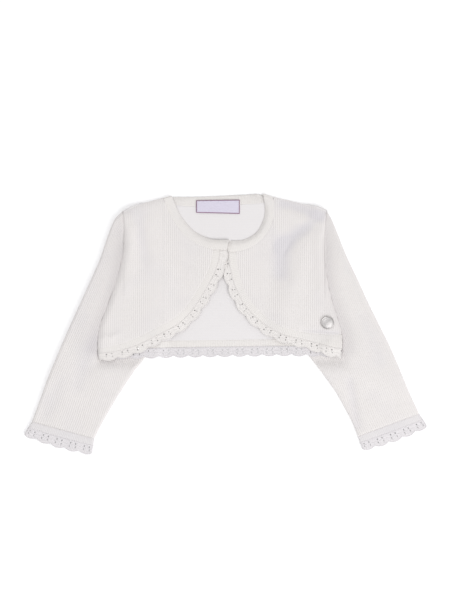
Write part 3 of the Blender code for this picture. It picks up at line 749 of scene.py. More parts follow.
def knit_grid(x, counts, low, high, side_of):
    """Plan places of every row and column, leaning with the folded side where it bulges."""
    y = spaced_rows(low, high, int((high - low).max() / ROW_STEP))
    x = np.broadcast_to(x, y.shape)
    plan_x = x.copy()
    for side in SIDES:
        waist_x, waist_y = waist(side)
        lean = np.where(y > waist_y, side_line[side].x_at(y) - waist_x, 0)
        share = smooth((abs(x) - abs(waist_x) + LEAN_REACH) / LEAN_REACH)
        plan_x = np.where(side_of == side, x + lean * share, plan_x)
    stitches = np.stack([np.broadcast_to(counts / STITCH_COLUMNS, y.shape), y / COURSE], -1)
    return plan_x, y, stitches


def below_side(side, x, over):
    """The top of each column: over it, or the folded side line beyond its waist."""
    points, (waist_x, waist_y) = side_line[side].points, waist(side)
    under_arm = Line(points[points[:, 1] <= waist_y])
    return np.where(abs(x) <= abs(waist_x), over, crossing(under_arm, x, True))


print("The waist of the left side is", round(waist("left")[0]), "mm from the middle")

# %% The fronts
# Painted shade on the fronts: a cool shade in the troughs of the folds, and a grey shade beside each
# folded side.
TROUGH_PAINTED_SHADE = {"right": 0.45, "left": 1.0}  # how cool the troughs of a front look
TROUGH_DEPTH = 1.5  # a trough of this depth is as cool as they get
FOLD_SHADE, FOLD_SHADE_REACH = 0.5, 6.0  # the shade beside a fold
EDGE_FLAT = 2.0  # the ridges fade out so near a fold


def front_painted_shades(side, x, y):
    """How much painted cool shade a trough gets and how much painted shade lies beside the fold, both
    from 0 to 1.
    """
    cool = np.clip(-folds(FRONT_FOLDS[side], x, y) / TROUGH_DEPTH, 0, 1)
    to_side = edge_gaps(side, x, y)[0]
    hollow_shade = FOLD_SHADE * np.exp(-((to_side / FOLD_SHADE_REACH) ** 2)) * (1 - at_armhole(y))
    return {"PaintedCoolShade": cool * TROUGH_PAINTED_SHADE[side], "PaintedShade": hollow_shade}


def front(side):
    way = WAY[side]
    neck = neck_seam[side].moved(TUCK * way)
    seam = front_seam[side].moved(TUCK * -way)
    last = side_line[side].x_at(FRONT_SEAM[side][-1][1])
    x, counts = wale_columns(abs(FRONT_SEAM[side][0][0]) - TUCK, abs(last))
    x = x * way
    over = crossing(shoulder_line[side], x, True)
    over = np.where(abs(x) < abs(SHOULDER[side][-1][0]), crossing(neck, x, True), over)
    high, low = below_side(side, x, over), crossing(seam, x, False)
    keep = whole(low, high)
    counts = counts[keep]
    x, y, stitches = knit_grid(x[keep], counts, low[keep], high[keep], side)
    face = front_face(side, x, y)
    face -= sewn(-way * neck_seam[side].nearest(x, y))
    face -= sewn(way * front_seam[side].nearest(x, y))
    face += ridge(counts) * smooth(np.minimum(*edge_gaps(side, x, y)) / EDGE_FLAT)
    points, shades = np.stack([x, y, face], -1), front_painted_shades(side, x, y)
    name, flip = f"knit_front_{side}", side == "right"
    return grid_piece(name, points, stitches, knit, CLOTH, flip, shades=shades)


fronts = {side: front(side) for side in SIDES}

# %% [markdown]
# ## The back
#
# The back is one panel from side to side. It lies face down, so its outer face is the lower one
# and what shows in the open front is its inside. It takes two materials: the purl side above
# and the stocking stitch beneath, where the wall is raised from the first face.


# %% The back
def back():
    x, counts = wale_columns(SIDE["right"][-1][0], SIDE["left"][-1][0])
    even = counts % 2 == 0  # the purl side needs only half of the columns
    x, counts = x[even], counts[even]
    side_of = np.where(x < 0, "right", "left")
    low = crossing(curve(HEM_SEAM).moved(-TUCK), x, False)
    over = np.full(len(x), -NOWHERE)
    for side in SIDES:
        top = below_side(side, x, crossing(shoulder_line[side], x, True))
        over = np.where(side_of == side, top, over)
    within = (x > SHOULDER["right"][-1][0] + 0.3) & (x < SHOULDER["left"][-1][0] - 0.3)
    high = np.where(within, crossing(curve(BACK_NECK_SEAM).moved(TUCK), x, False), over)
    keep = whole(low, high)
    x, y, stitches = knit_grid(x[keep], counts[keep], low[keep], high[keep], side_of[keep])
    points = np.stack([x, y, back_face(x, y)], -1)
    return grid_piece("knit_back", points, stitches, knit, CLOTH, True, inside=purl)


back_piece = back()

# %% [markdown]
# ## The sleeves
#
# A sleeve is a tube that was pressed flat. Its rings are flattened ovals, round at both folds,
# and its wales run parallel to the outer fold, as they would on a sleeve whose underarm is
# shaped by decreases. The columns that no longer fit across the top go round to the underside.

# %% Flattened tubes
RING_ACROSS = 40  # steps across a ring
RING_INSET = 2.5  # the height of a fold is read so far in from it


def flat_ring(outer, inner, top):
    """A closed loop from the outer fold over the top to the inner fold and back beneath."""
    run = (inner - outer) / np.linalg.norm(inner - outer)
    probe = np.stack([outer + run * RING_INSET, inner - run * RING_INSET])
    start_radius, end_radius = top(probe[:, 0], probe[:, 1]) / 2
    start, end = outer + run * start_radius, inner - run * end_radius

    def arc(middle, radius, first, last, count):
        turn = np.linspace(first, last, count)[:, None]
        return np.hstack([middle + run * radius * np.cos(turn), radius * (1 + np.sin(turn))])

    right = np.pi / 2
    flat = mix(start, end, np.arange(1, RING_ACROSS)[:, None] / RING_ACROSS)
    over = np.hstack([flat, top(flat[:, 0], flat[:, 1])[:, None]])
    beneath = np.pad(flat[::-2], ((0, 0), (0, 1)))
    rise, fall = arc(start, start_radius, np.pi, right, 7), arc(end, end_radius, right, 0, 7)
    dive = arc(end, end_radius, 0, -right, 6)[1:]
    climb = arc(start, start_radius, -right, -np.pi, 6)
    loop = np.concatenate([rise, over, fall, dive, beneath, climb])
    steps = np.linalg.norm(np.diff(loop, axis=0), axis=1)
    run_length = np.concatenate([[0.0], np.cumsum(steps)])
    return loop, run_length, run_length[len(rise) + len(over) + len(fall) - 1]


def around(loop, run_length, far):
    return np.stack([np.interp(far, run_length, loop[:, i]) for i in range(3)], -1)


# %% The sleeves
SLEEVE_STEP = 3.0
UNDER_COLUMNS = 34  # columns beneath where the sleeve is widest
UPPER = 1.5  # what stands higher than this is the upper face
# The sleeves get painted shade too: grey beside the body's folded side, and cool in their troughs.
CREASE_SHADE_REACH = {"right": 11.0, "left": 8.5}  # how far from the body its crease still shades
END_DIP = 0.2  # how far a sleeve is drawn in at the cuff's seam


def sleeve_painted_shades(side, x, y, z):
    """The painted shade beside the body, wider further down, and the painted cool shade in the
    troughs.
    """
    beside = beside_body(side, x, y)
    reach = CREASE_SHADE_REACH[side] + 6 * smooth((20 - y) / 40)
    hollow_shade = np.exp(-((beside / reach) ** 2)) * (1 - at_armhole(y) * 0.55)
    hollow_shade *= smooth((y + 44) / 16) * (beside > -3) * (z > UPPER)
    cool = np.clip(-folds(SLEEVE_FOLDS[side], x, y) / 1.6, 0, 1) * 0.5 * (z > UPPER)
    return {"PaintedShade": hollow_shade, "PaintedCoolShade": cool}


def sleeve(side):
    outer, inner = sleeve_outer[side], sleeve_inner[side]

    def top(x, y):
        return sleeve_top(side, x, y)

    rows = int(outer.length / SLEEVE_STEP)
    shares = np.arange(rows + 1) / rows
    rings = [flat_ring(outer.at(s), inner.at(s), top) for s in shares]
    step = WALE / STITCH_COLUMNS
    across = int(max(ring[2] for ring in rings) / step)
    counts = np.arange(across + UNDER_COLUMNS)
    marks = np.append(counts, len(counts)) / STITCH_COLUMNS
    points, stitches = [], []
    for share, (loop, run_length, half) in zip(shares, rings):
        fitted = int(half / step)
        spare = len(counts) - fitted
        rest = (counts - fitted) / spare * (run_length[-1] - fitted * step) + fitted * step
        ring = around(loop, run_length, np.where(counts <= fitted, counts * step, rest))
        raised = ridge(counts) * (counts < fitted) * smooth((ring[:, 2] - 1.2) / 1.5)
        dip = END_DIP * smooth((share * outer.length - outer.length + 3) / 3)
        ring[:, 2] = np.where(ring[:, 2] > 1, ring[:, 2] + raised - dip, ring[:, 2] + dip * 0.5)
        ring[:, :2] += (loop.mean(0)[:2] - ring[:, :2]) * dip * 0.012
        points.append(ring)
        stitches.append(np.stack([marks, np.full(len(marks), share * outer.length / COURSE)], -1))
    points, stitches = np.array(points), np.array(stitches)
    shades = sleeve_painted_shades(side, *np.moveaxis(points, -1, 0))
    name, flip = f"knit_sleeve_{side}", side == "right"
    return grid_piece(name, points, stitches, knit, CLOTH, flip, wrap=True, shades=shades)


sleeves = {side: sleeve(side) for side in SIDES}

# %% [markdown]
# ## The neckband
#
# The neckband is picked up round the neck and knitted more tightly, so it looks smoother than
# the fronts. It's swept along the neck as a crowned strip: over the right front, round the
# shoulder fold, behind the neck, and back over the left front. The right end laps over the left.

# %% Sections of the neckband
BAND_ACROSS = 12  # points across it, less one
BAND_CROWN = 0.35  # how much lower its two edges lie
NECK_DROP = 2.3  # its inner edge settles so far towards the back
ACROSS = np.arange(BAND_ACROSS + 1) / BAND_ACROSS


def crown(share):
    """The rise of a strip's middle over its two edges."""
    return 0.1 - BAND_CROWN * (2 * share - 1) ** 6


def neck_section(edge, seam, height, drop=0.0):
    plan = mix(edge, seam, ACROSS[:, None])
    rise = crown(ACROSS) - drop * (1 - smooth(ACROSS / 0.6)) ** 2
    return np.hstack([plan, (height(plan[:, 0], plan[:, 1]) + rise)[:, None]])


def over_front(side, shares, level, reach):
    """Sections over a front, whose inner edge drops more and more below the shoulder."""
    found = []
    for share in shares:
        ends = neck_line[side].at(share), neck_seam[side].at(share)
        drop = NECK_DROP * smooth((level - share) / reach)
        found.append(neck_section(*ends, lambda x, y: front_top(side, x, y), drop))
    return found


def neck_turn(side, angle):
    """A section on the shoulder fold: angle runs from 90 degrees on top to -90 beneath."""
    edge, seam = neck_line[side].at(1.0), neck_seam[side].at(1.0)
    run = (seam - edge) / np.linalg.norm(seam - edge)
    out = np.array([-run[1], run[0]]) * WAY[side]
    plan = mix(edge, seam, ACROSS[:, None])
    under = back_under(plan[:, 0], plan[:, 1])
    radius = (front_top(side, plan[:, 0], plan[:, 1]) - under) / 2
    reach = (radius + crown(ACROSS)) * math.cos(math.radians(angle)) - radius
    height = under + radius + (radius + crown(ACROSS)) * math.sin(math.radians(angle))
    return np.hstack([plan + out * reach[:, None], height[:, None]])


# %% The neckband
NECK_STEP = 1.6
NECK_LAST = 0.975  # the share of a front's curve where the shoulder turn takes over
BACK_TURNS = 60  # sections behind the neck
TURN_CLEAR = 0.055  # its inner edge starts this share along, clear of the turn
NECK_WIDTH = 12.0


def neckband():
    steps = int(neck_seam["right"].length / NECK_STEP)
    shares = np.arange(steps + 1) / steps * NECK_LAST
    angles = np.linspace(85, -85, 13)
    sections = over_front("right", shares, 0.97, 0.3)
    sections += [neck_turn("right", angle) for angle in angles]
    behind, behind_seam = curve(BACK_NECK), curve(BACK_NECK_SEAM)
    for share in np.arange(1, BACK_TURNS) / BACK_TURNS:
        inner = behind.at(mix(TURN_CLEAR, 1 - TURN_CLEAR, share))
        sections.append(neck_section(inner, behind_seam.at(share), back_under))
    sections += [neck_turn("left", angle) for angle in angles[::-1]]
    sections += over_front("left", shares[::-1], 0.98, 0.2)
    points = np.array(sections)
    run = np.linalg.norm(np.diff(points[:, BAND_ACROSS // 2], axis=0), axis=1)
    along = np.concatenate([[0.0], np.cumsum(run)]) / WALE * 1.25
    stitches = np.zeros((*points.shape[:2], 2))
    stitches[..., 0] = along[:, None]
    stitches[..., 1] = ACROSS * NECK_WIDTH / COURSE * 1.2
    return grid_piece("knit_neckband", points, stitches, band_knit, WALL - 0.3, True)


neckband_piece = neckband()

# %% [markdown]
# ## The edgings
#
# Every edging is a plain knitted band with a crochet border. The band is a crowned strip. The
# border is worked in lengths of yarn, laid out once for a single arch and then set along each
# seam: two rows of posts with pairs of small holes, a fan of posts for the arch, and chains
# between and round them. Each post is two strands that cross, as in a real crochet stitch.

# %% Lengths of yarn
YARN = 0.42  # the radius of a strand
STRAND_STEPS = 5
STRAND_SIDES = 4


def yarn(name, paths, finish):
    """paths is strands by steps by 3 in plan millimetres."""
    count, steps = paths.shape[:2]
    run = np.gradient(paths, axis=1)
    run /= np.linalg.norm(run, axis=2, keepdims=True)
    side = np.cross(run, (0.0, 0.0, 1.0))
    side /= np.maximum(np.linalg.norm(side, axis=2, keepdims=True), 1e-6)
    up = np.cross(side, run)
    turn = np.arange(STRAND_SIDES)[:, None] * math.tau / STRAND_SIDES
    ring = YARN * (side[:, :, None] * np.cos(turn) + up[:, :, None] * np.sin(turn))
    points = (paths[:, :, None] + ring).reshape(-1, 3)
    index = np.arange(len(points)).reshape(count, steps, STRAND_SIDES)
    after = np.roll(index, -1, axis=2)
    quads = np.stack([index[:, :-1], after[:, :-1], after[:, 1:], index[:, 1:]], -1)
    faces = quads.reshape(-1, 4)[:, ::-1].tolist()
    faces += index[:, 0].tolist() + index[:, -1, ::-1].tolist()
    piece = link(name, points, faces, finish)
    bpy.ops.object.shade_smooth()
    print(name, count, "strands,", sum(len(f) - 2 for f in faces), "triangles")
    return piece


def spun(name, light, dark):
    """Plain yarn: soft, and painted a little darker in its hollows, as shade."""
    finish = soft_yarn(name)
    fuzz = finish.noise(0.4, 3.0)
    shade = (fuzz * 0.6 + finish.noise(18) * 0.4).step(0.2, 0.8)
    finish.feed("Base Color", finish.colour(shade, dark, light))
    finish.bump(fuzz, 0.12)
    return finish.material


crochet = spun("crochet yarn", (0.875, 0.846, 0.832), (0.832, 0.803, 0.788))
# A darker, cooler copy of the same yarn, as painted shade for the hem and cuffs that lie low on the
# table.
shaded_crochet = spun("shaded crochet yarn", (0.828, 0.803, 0.818), (0.778, 0.753, 0.77))

# %% One arch of the crochet
ARCH = 17.0  # the length of seam under one arch
LACE = 6.8  # from the band to the notches, before a seam stretches it
ARCH_HEIGHT = 2.8
STITCHES = 14
HOLES = (4, 9)  # the posts that are left out
POST_ROWS = ((0.5, 3.4), (3.7, 6.5))
FAN, FAN_FOOT, FAN_TIP = 12, 1.28, 1.42  # its posts, and how far apart they stand
EDGE_LINKS = 13


def post(s1, v1, s2, v2):
    """Two strands that cross once on the way up."""
    t = np.linspace(0, 1, STRAND_STEPS)
    found = []
    for way in (-1, 1):
        s = mix(s1, s2, t) + way * 0.3 * np.cos(t * math.pi)
        found.append(np.stack([s, mix(v1, v2, t), 0.16 * way * np.sin(t * math.pi)], -1))
    return found


def chain_link(s1, v1, s2, v2, rise):
    """Two strands that open into an eye and close again."""
    t = np.linspace(-0.15, 1.15, STRAND_STEPS)
    run = np.array([s2 - s1, v2 - v1])
    aside = np.array([-run[1], run[0]]) / np.linalg.norm(run)
    found = []
    for way in (-1, 1):
        swell = way * 0.42 * np.sin(t.clip(0, 1) * math.pi) - way * 0.05
        plan = np.array([s1, v1]) + t[:, None] * run + swell[:, None] * aside
        found.append(np.hstack([plan, (rise - 0.25 * t)[:, None]]))
    return found


def arch_line(s):
    return LACE + ARCH_HEIGHT * (1 - (2 * s / ARCH - 1) ** 2)


def arch():
    pitch = ARCH / STITCHES
    strands = []
    for v1, v2 in POST_ROWS:
        for i in [i for i in range(STITCHES) if i not in HOLES]:
            # A post beside a hole is pushed away from it.
            bend = sum(0.1 * np.sign(i - hole) for hole in HOLES if abs(i - hole) == 1)
            s = (i + 0.5) * pitch + bend
            strands += post(s, v1, s, v2)
    for i in range(STITCHES):
        strands += chain_link(i * pitch, 0.1, (i + 1) * pitch, 0.1, 0.55)
        strands += chain_link(i * pitch, 3.55, (i + 1) * pitch, 3.55, 0.1)
    for i in np.arange(FAN) - (FAN - 1) / 2:
        tip = ARCH / 2 + i * FAN_TIP
        strands += post(ARCH / 2 + i * FAN_FOOT, 6.2, tip, arch_line(tip) - 0.5)
    edge_s = np.linspace(0, ARCH, EDGE_LINKS + 1)
    for a, b in zip(edge_s, edge_s[1:]):
        strands += chain_link(a, arch_line(a) - 0.45, b, arch_line(b) - 0.45, 0.3)
    return np.array(strands)


one_arch = arch()
print("One arch is", len(one_arch), "strands of yarn")


def arches(length, phase=0.0):
    """The strands of the arch, copied again and again along a length of seam."""
    found = []
    for first in np.arange(-phase, length, ARCH):
        strands = one_arch.copy()
        strands[..., 0] += first
        found.append(strands)
    return np.concatenate(found)


# %% [markdown]
# Strands alone would let the table show between them. So a thin sheet lies behind them, a grid in
# which a few squares are left open as eyelets before it gets its wall. A front's border is
# tighter than the hem's: its eyelets are narrower, only half of them open one row more, by a count
# that shifts from arch to arch, and there are none next to the closure.

# %% The openwork behind the strands
SHEET_COLUMNS = STITCHES * 2  # columns of the sheet in one arch
SHEET_ROWS = 13  # its rows down to the arch, and then a few more
SHEET_TOP, SHEET_LOW = -0.4, 6.4
SHEET_RISE, SHEET_WALL = 0.22, 0.7
EYELETS = (((3, 4), 0.0), ((8, 9), 0.55))  # their rows, and how far apart each pair spreads
Eyelets = namedtuple("Eyelets", "start tall wide")  # tall: how many of four open a row more
FRONT_EYELETS = Eyelets(13.0, 2, 1.01)
HEM_EYELETS = Eyelets(0.0, 4, 1.26)
CORNER_PULL = 0.4


def openwork(length, phase, eyelets):
    """The grid behind the strands, and which of its squares are left open as eyelets."""
    step = ARCH / SHEET_COLUMNS
    count = int(length / step)
    along = np.arange(count + 1) / count * length
    s = (along + phase) % ARCH
    rows = [np.full(len(along), v) for v in np.linspace(SHEET_TOP, SHEET_LOW, SHEET_ROWS)]
    rows += [mix(SHEET_LOW, arch_line(s) - 0.3, share) for share in (0.25, 0.5, 0.75, 1.0)]
    v = np.array(rows).T
    middle = (s[:-1] + step / 2) % ARCH
    number = ((along[:-1] + phase) // ARCH).astype(int)
    left_open = np.zeros((count, v.shape[1] - 1), bool)
    for which, hole in enumerate(HOLES):
        for row, (pair, spread) in enumerate(EYELETS):
            centre = (hole + 0.5) * ARCH / STITCHES + spread * (2 * which - 1)
            near = (abs(middle - centre) < step * eyelets.wide) & (along[:-1] > eyelets.start)
            left_open[np.ix_(near, pair)] = True
            tall = near & ((number * 5 + which * 3 + row * 2) % 4 < eyelets.tall)
            left_open[tall, pair[-1] + 1] = True
    # A corner of an eyelet is pulled in, so that the yarn goes round it.
    around_it = np.pad(left_open, 1).astype(float)
    before, after = around_it[:-1], around_it[1:]
    touching = before[:, :-1] + before[:, 1:] + after[:, :-1] + after[:, 1:]
    pull = CORNER_PULL * (touching == 1)
    sideways = after[:, :-1] + after[:, 1:] - before[:, :-1] - before[:, 1:]
    downwards = before[:, 1:] + after[:, 1:] - before[:, :-1] - after[:, :-1]
    row_step = v[:, 4:5] - v[:, 3:4]
    return along[:, None] + pull * step * sideways, v + pull * row_step * downwards, left_open


# %% [markdown]
# Both parts of an edging follow its seam. A place on it is given by how far along the seam it is,
# how far out and how high, and Edging turns that into a place on the garment. Towards the side
# its depth changes. Its top is pressed flat beneath the neckband. Where a front folds over, its
# edging rolls over with it.

# %% Where an edging lies
BAND = 8.6  # the plain band's depth
FRONT_TRIM, HEM_TRIM = 15.4, 17.2  # the edgings' depth down to the notches
FRONT_TRIM_AT_SIDE = {"right": 13.0, "left": 24.5}
BAND_AT_SIDE = {"right": 6.6, "left": 15.6}
TRIM_CHANGE = 0.72  # the share of the seam where the depth starts to change
TRIM_PHASE = {"right": 0.0, "left": 13.5}  # how much of the first arch is left off at the neck
NECK_PRESS, NECK_PRESS_FOOT = 1.1, 70.0  # how far it is pressed down, and above which height


class Edging(namedtuple("Edging", "seam out depth band height meets phase folded")):
    """Places along a seam: how far along, how far out from it and how high over the middle."""

    def deep(self, depths, along):
        """A depth, which changes from its first number to its second along the seam."""
        share = along / self.seam.length
        return mix(*depths, smooth((share - TRIM_CHANGE) / (1 - TRIM_CHANGE)))

    def reach(self, along, v):
        """How far out a part of the arch lies: v is 0 at the band and LACE at the notches."""
        band = self.deep(self.band, along)
        notch = self.deep(self.depth, along) - band
        return band + np.where(v <= LACE, v * notch / LACE, notch + v - LACE)

    def place(self, along, out, h):
        share = along / self.seam.length
        plan = self.seam.at(share) + self.seam.left(share) * (self.out * out)[..., None]
        x, y = plan[..., 0], plan[..., 1]
        z = self.height(x, y)
        radius = (z - self.meets(x, y)) / 2
        gap = self.seam.length - along
        if not self.folded:
            gap = np.minimum(gap, along)
        size = np.maximum(abs(radius), LEAST_RADIUS) * (FOLD_REACH if self.folded else 1.0)
        z = z - radius * oval_fall(gap / size) - self.under_neckband(x, y)
        return np.stack([x, y, z + h], -1)

    def under_neckband(self, x, y):
        """How far the piece is pressed down where the neckband covers it."""
        if not self.folded:
            return 0.0
        side = "right" if self.out > 0 else "left"
        gap = self.out * neck_seam[side].nearest(x, y)
        return NECK_PRESS * (1 - smooth((gap + 0.6) / 1.8)) * (y > NECK_PRESS_FOOT)


def front_edging(side):
    depth = FRONT_TRIM, FRONT_TRIM_AT_SIDE[side]
    band = BAND, BAND_AT_SIDE[side]

    def top(x, y):
        return front_top(side, x, y)

    phase = TRIM_PHASE[side]
    return Edging(front_seam[side], -WAY[side], depth, band, top, back_under, phase, True)


def either_top(x, y):
    return np.where(x < 0, front_top("right", x, y), front_top("left", x, y))


hem_edging = Edging(
    curve(HEM_SEAM), -1, (HEM_TRIM, HEM_TRIM), (BAND, BAND), back_under, either_top, 0.0, False
)
print("The hem's edging is", round(hem_edging.seam.length), "mm long")

# %% [markdown]
# The band is a grid whose rows run along the seam: the first one is tucked under the knit, and
# the next few make its rounded edge. The border is the arch's strands joined to the openwork, so
# that both are one piece. Their places go through the same Edging, which keeps them together.

# %% Bands and borders along a seam
BAND_ROWS = (-0.7, 0.0, 0.8, 2.0, 3.5, 5.0, 6.4, 7.6, 8.3, 8.9)
BAND_STEP = 1.3
FIXED_ROW = 0.8  # the rows beyond this one spread out with the band's depth
# Painted shade where a front's band rolls over at its end.
END_SHADE, END_SHADE_REACH = 0.6, 5.0  # the shade where a front's band rolls over
FRONT_LACE_RISE, HEM_LACE_RISE = -0.35, 1.05  # from the height of the piece that it edges


def backed(work, places, along, v, left_open, finish, flip):
    """A border's strands, joined to the openwork behind them."""
    name, stitches = "sheet_" + work.name, np.stack([along, v], -1)
    sheet = grid_piece(name, places, stitches, finish, SHEET_WALL, flip, left_open=left_open)
    only(work)
    sheet.select_set(True)
    bpy.ops.object.join()
    return work


def plain_band(name, edging, lower=0.0):
    length = edging.seam.length
    steps = int(length / BAND_STEP)
    along, out = np.meshgrid(np.arange(steps + 1) / steps * length, BAND_ROWS, indexing="ij")
    rise = 0.05 - 0.6 * (1 - smooth((out + 0.7) / 1.6)) - 0.12 * smooth((out - 7.4) / 1.5)
    room = edging.deep(edging.band, along) - FIXED_ROW
    spread = FIXED_ROW + (out - FIXED_ROW) * room / (BAND - FIXED_ROW)
    out = np.where(out > FIXED_ROW, spread, out)
    points = edging.place(along, out, rise + lower)
    stitches = np.stack([along / WALE * 1.2, out / COURSE * 1.3], -1)
    hollow_shade = END_SHADE * np.exp(-(((length - along) / END_SHADE_REACH) ** 2)) * edging.folded
    shades, flip = {"PaintedShade": hollow_shade}, edging.out > 0
    return grid_piece(name, points, stitches, band_knit, CLOTH, flip, shades=shades)


def lace(name, edging, middle, finish, eyelets):
    """Sets the arch again and again along a seam, without what passes its ends."""
    length = edging.seam.length
    strands = arches(length, edging.phase)
    centre = strands[:, STRAND_STEPS // 2, 0]
    strands = strands[(centre > 0.3) & (centre < length - 0.3)]
    along = strands[..., 0].clip(0, length)
    out = edging.reach(along, strands[..., 1])
    work = yarn(name, edging.place(along, out, strands[..., 2] + middle), finish)
    along, v, left_open = openwork(length, edging.phase, eyelets)
    points = edging.place(along, edging.reach(along, v), middle + SHEET_RISE)
    return backed(work, points, along, v, left_open, finish, edging.out > 0)


bands, borders = {}, {}
for side in SIDES:
    edging = front_edging(side)
    bands[side] = plain_band(f"band_front_{side}", edging)
    name = f"lace_front_{side}"
    borders[side] = lace(name, edging, FRONT_LACE_RISE, crochet, FRONT_EYELETS)
bands["hem"] = plain_band("band_hem", hem_edging, WALL)
borders["hem"] = lace("lace_hem", hem_edging, HEM_LACE_RISE, shaded_crochet, HEM_EYELETS)

# %% [markdown]
# ## The cuffs
#
# A cuff's edging goes round the flattened sleeve. Its band is a short tube between two rings,
# and the same arch is wrapped round the second half, so the far side has its arches too. The cuffs
# lie low on the table and look cooler, so their knit and yarn are darker copies: painted shade.

# %% The cuffs
CUFF_ARCHES = 10
CUFF_ROUND = CUFF_ARCHES * ARCH  # the arches are laid out over this length, then fitted
CUFF_SIZE = 150, 16  # round it and down it, to count its stitches
CUFF_SEAM_HEIGHT, CUFF_HEIGHT = 5.4, 4.4
CUFF_BOW = 2.8  # its edge bows out in the middle
CUFF_COLUMNS = 160
CUFF_ROWS = (-0.04, 0.0, 0.03, 0.07, 0.14, 0.24, 0.34, 0.44, 0.5, 0.53)  # 1 at the notches
CUFF_FACE = 1.2  # what is this far from the middle height is the upper or the lower face


def cuff_ring(ends, height):
    return flat_ring(ends[:2], ends[2:], lambda x, y: np.full(np.shape(x), height))


def on_cuff(rings, share, down, past=0.0):
    """A place round the cuff by share, and down it from the seam, 0, to the notches, 1."""
    near, far = (around(loop, run, (share % 1) * run[-1]) for loop, run, _ in rings)
    depth = np.linalg.norm(far - near, axis=-1)
    across = 2 * share % 1
    bow = CUFF_BOW * 4 * across * (1 - across) * down.clip(0, 1) ** 2
    down = down + (past + bow) / depth
    return near + (far - near) * down[..., None]


def on_cuff_border(rings, along, v, further=0.0, lower=0.0):
    """A place on the border, whose arches are laid out as along a seam."""
    down = 0.5 + 0.5 * v.clip(None, LACE) / LACE
    return on_cuff(rings, along / CUFF_ROUND + further, down + lower, (v - LACE).clip(0, None))


def cuff_band(side, rings):
    share, down = np.meshgrid(np.arange(CUFF_COLUMNS) / CUFF_COLUMNS, CUFF_ROWS)
    points = on_cuff(rings, share, down)
    above = points[..., 2] - points[..., 2].mean()
    rise = 0.1 - 0.3 * (2 * down / CUFF_ROWS[-1] - 1) ** 6
    points[..., 2] += rise * np.sign(above) * (abs(above) > CUFF_FACE)
    points[..., 2] = points[..., 2].clip(0, None)
    across = np.arange(CUFF_COLUMNS + 1) * CUFF_SIZE[0] / CUFF_COLUMNS / WALE * 1.2
    down = np.array(CUFF_ROWS) * CUFF_SIZE[1] / COURSE * 1.3
    stitches, flip = np.stack(np.meshgrid(across, down), -1), side == "right"
    return grid_piece(f"band_cuff_{side}", points, stitches, shaded_cuff_knit, CLOTH, flip, wrap=True)


def cuff_lace(side, rings):
    strands = arches(CUFF_ROUND)
    laid = rings, strands[..., 0], strands[..., 1]
    places = on_cuff_border(*laid)
    middle = places.mean(axis=(0, 1))
    # The strands stand off the cuff's face, along the normal of each place.
    ahead = on_cuff_border(*laid, further=0.002) - places
    beyond = on_cuff_border(*laid, lower=0.02) - places
    normal = np.cross(ahead, beyond)
    normal /= np.linalg.norm(normal, axis=-1, keepdims=True)
    if ((places - middle) * normal)[..., 2].mean() < 0:
        normal = -normal
    places += normal * (strands[..., 2:] - 0.55)
    places[..., 2] = places[..., 2].clip(YARN * 0.9, None)
    work = yarn(f"lace_cuff_{side}", places, shaded_crochet)
    along, v, left_open = openwork(CUFF_ROUND, 0.0, HEM_EYELETS)
    places = on_cuff_border(rings, along, v)
    places[..., :2] += (middle - places)[..., :2] * 0.004  # a little inside the strands
    places[..., 2] += np.where(places[..., 2] > 2, -0.3, 0.3)
    return backed(work, places, along, v, left_open, shaded_crochet, side == "left")


for side in SIDES:
    seam = cuff_ring(np.array(SLEEVE[side][-1]), CUFF_SEAM_HEIGHT)
    notches = cuff_ring(np.array(CUFF_EDGE[side]), CUFF_HEIGHT)
    bands["cuff_" + side] = cuff_band(side, (seam, notches))
    borders["cuff_" + side] = cuff_lace(side, (seam, notches))

# %% [markdown]
# ## The label
#
# The label is a strip of satin with a border woven in a darker thread, sewn inside the back. The
# border comes from the piece's own coordinates, which run across and along the label.

# %% The label
LABEL_WIDE, LABEL_DEEP = 50, 15
LABEL_WALL = 0.9
LABEL_ACROSS, LABEL_DOWN = 48, 16  # the grid's squares
LABEL_SOFT = 0.9  # its edge is rounded over this width
LABEL_ARCH = 0.25  # its middle stands up by this much


def satin(name, light, dark, thread):
    finish = Finish(name, Roughness=0.5, Sheen_Weight=0.3)
    across, down = finish.stitches()
    from_side = LABEL_WIDE / 2 - abs(across - LABEL_WIDE / 2)
    from_end = LABEL_DEEP / 2 - abs(down - LABEL_DEEP / 2)
    rim = from_side.math("MINIMUM", from_end).step(1.15, 0.75)
    weave = (across * 9).sine() * (down * 11).sine() * 0.5 + 0.5
    cloth = finish.colour(weave * 0.5 + finish.noise(8) * 0.5, dark, light)
    finish.feed("Base Color", finish.colour(rim, cloth, thread))
    finish.bump(weave + rim, 0.15)
    return finish.material


label_satin = satin("label satin", (0.8, 0.76, 0.88), (0.74, 0.7, 0.84), (0.3, 0.14, 0.26))


def label():
    across = np.arange(LABEL_ACROSS + 1) / LABEL_ACROSS
    down = np.arange(LABEL_DOWN + 1) / LABEL_DOWN
    across, down = np.meshgrid(across, down)
    corners = np.array(LABEL_CORNERS, float)
    top = mix(corners[0], corners[1], across[..., None])
    low = mix(corners[2], corners[3], across[..., None])
    plan = mix(top, low, down[..., None])
    x, y = plan[..., 0], plan[..., 1]
    to_side = np.minimum(across, 1 - across) * LABEL_WIDE
    edge = np.minimum(to_side, np.minimum(down, 1 - down) * LABEL_DEEP)
    rise = WALL + CLEAR + LABEL_WALL - 0.5 * (1 - smooth(edge / LABEL_SOFT))
    rise += LABEL_ARCH * np.sin(across * 3.1)
    points = np.stack([x, y, back_under(x, y) + rise], -1)
    stitches = np.stack([across * LABEL_WIDE, down * LABEL_DEEP], -1)
    return grid_piece("label_strip", points, stitches, label_satin, LABEL_WALL - 0.35, True)


label_piece = label()

# %% [markdown]
# ## The charm
#
# The charm is a turned disc of metal with a rounded rim and a slightly dished face. Half of its
# section is drawn as a line from the middle over the rim and back, and a Screw modifier turns it.
# Then it is tilted until it rests on the front.

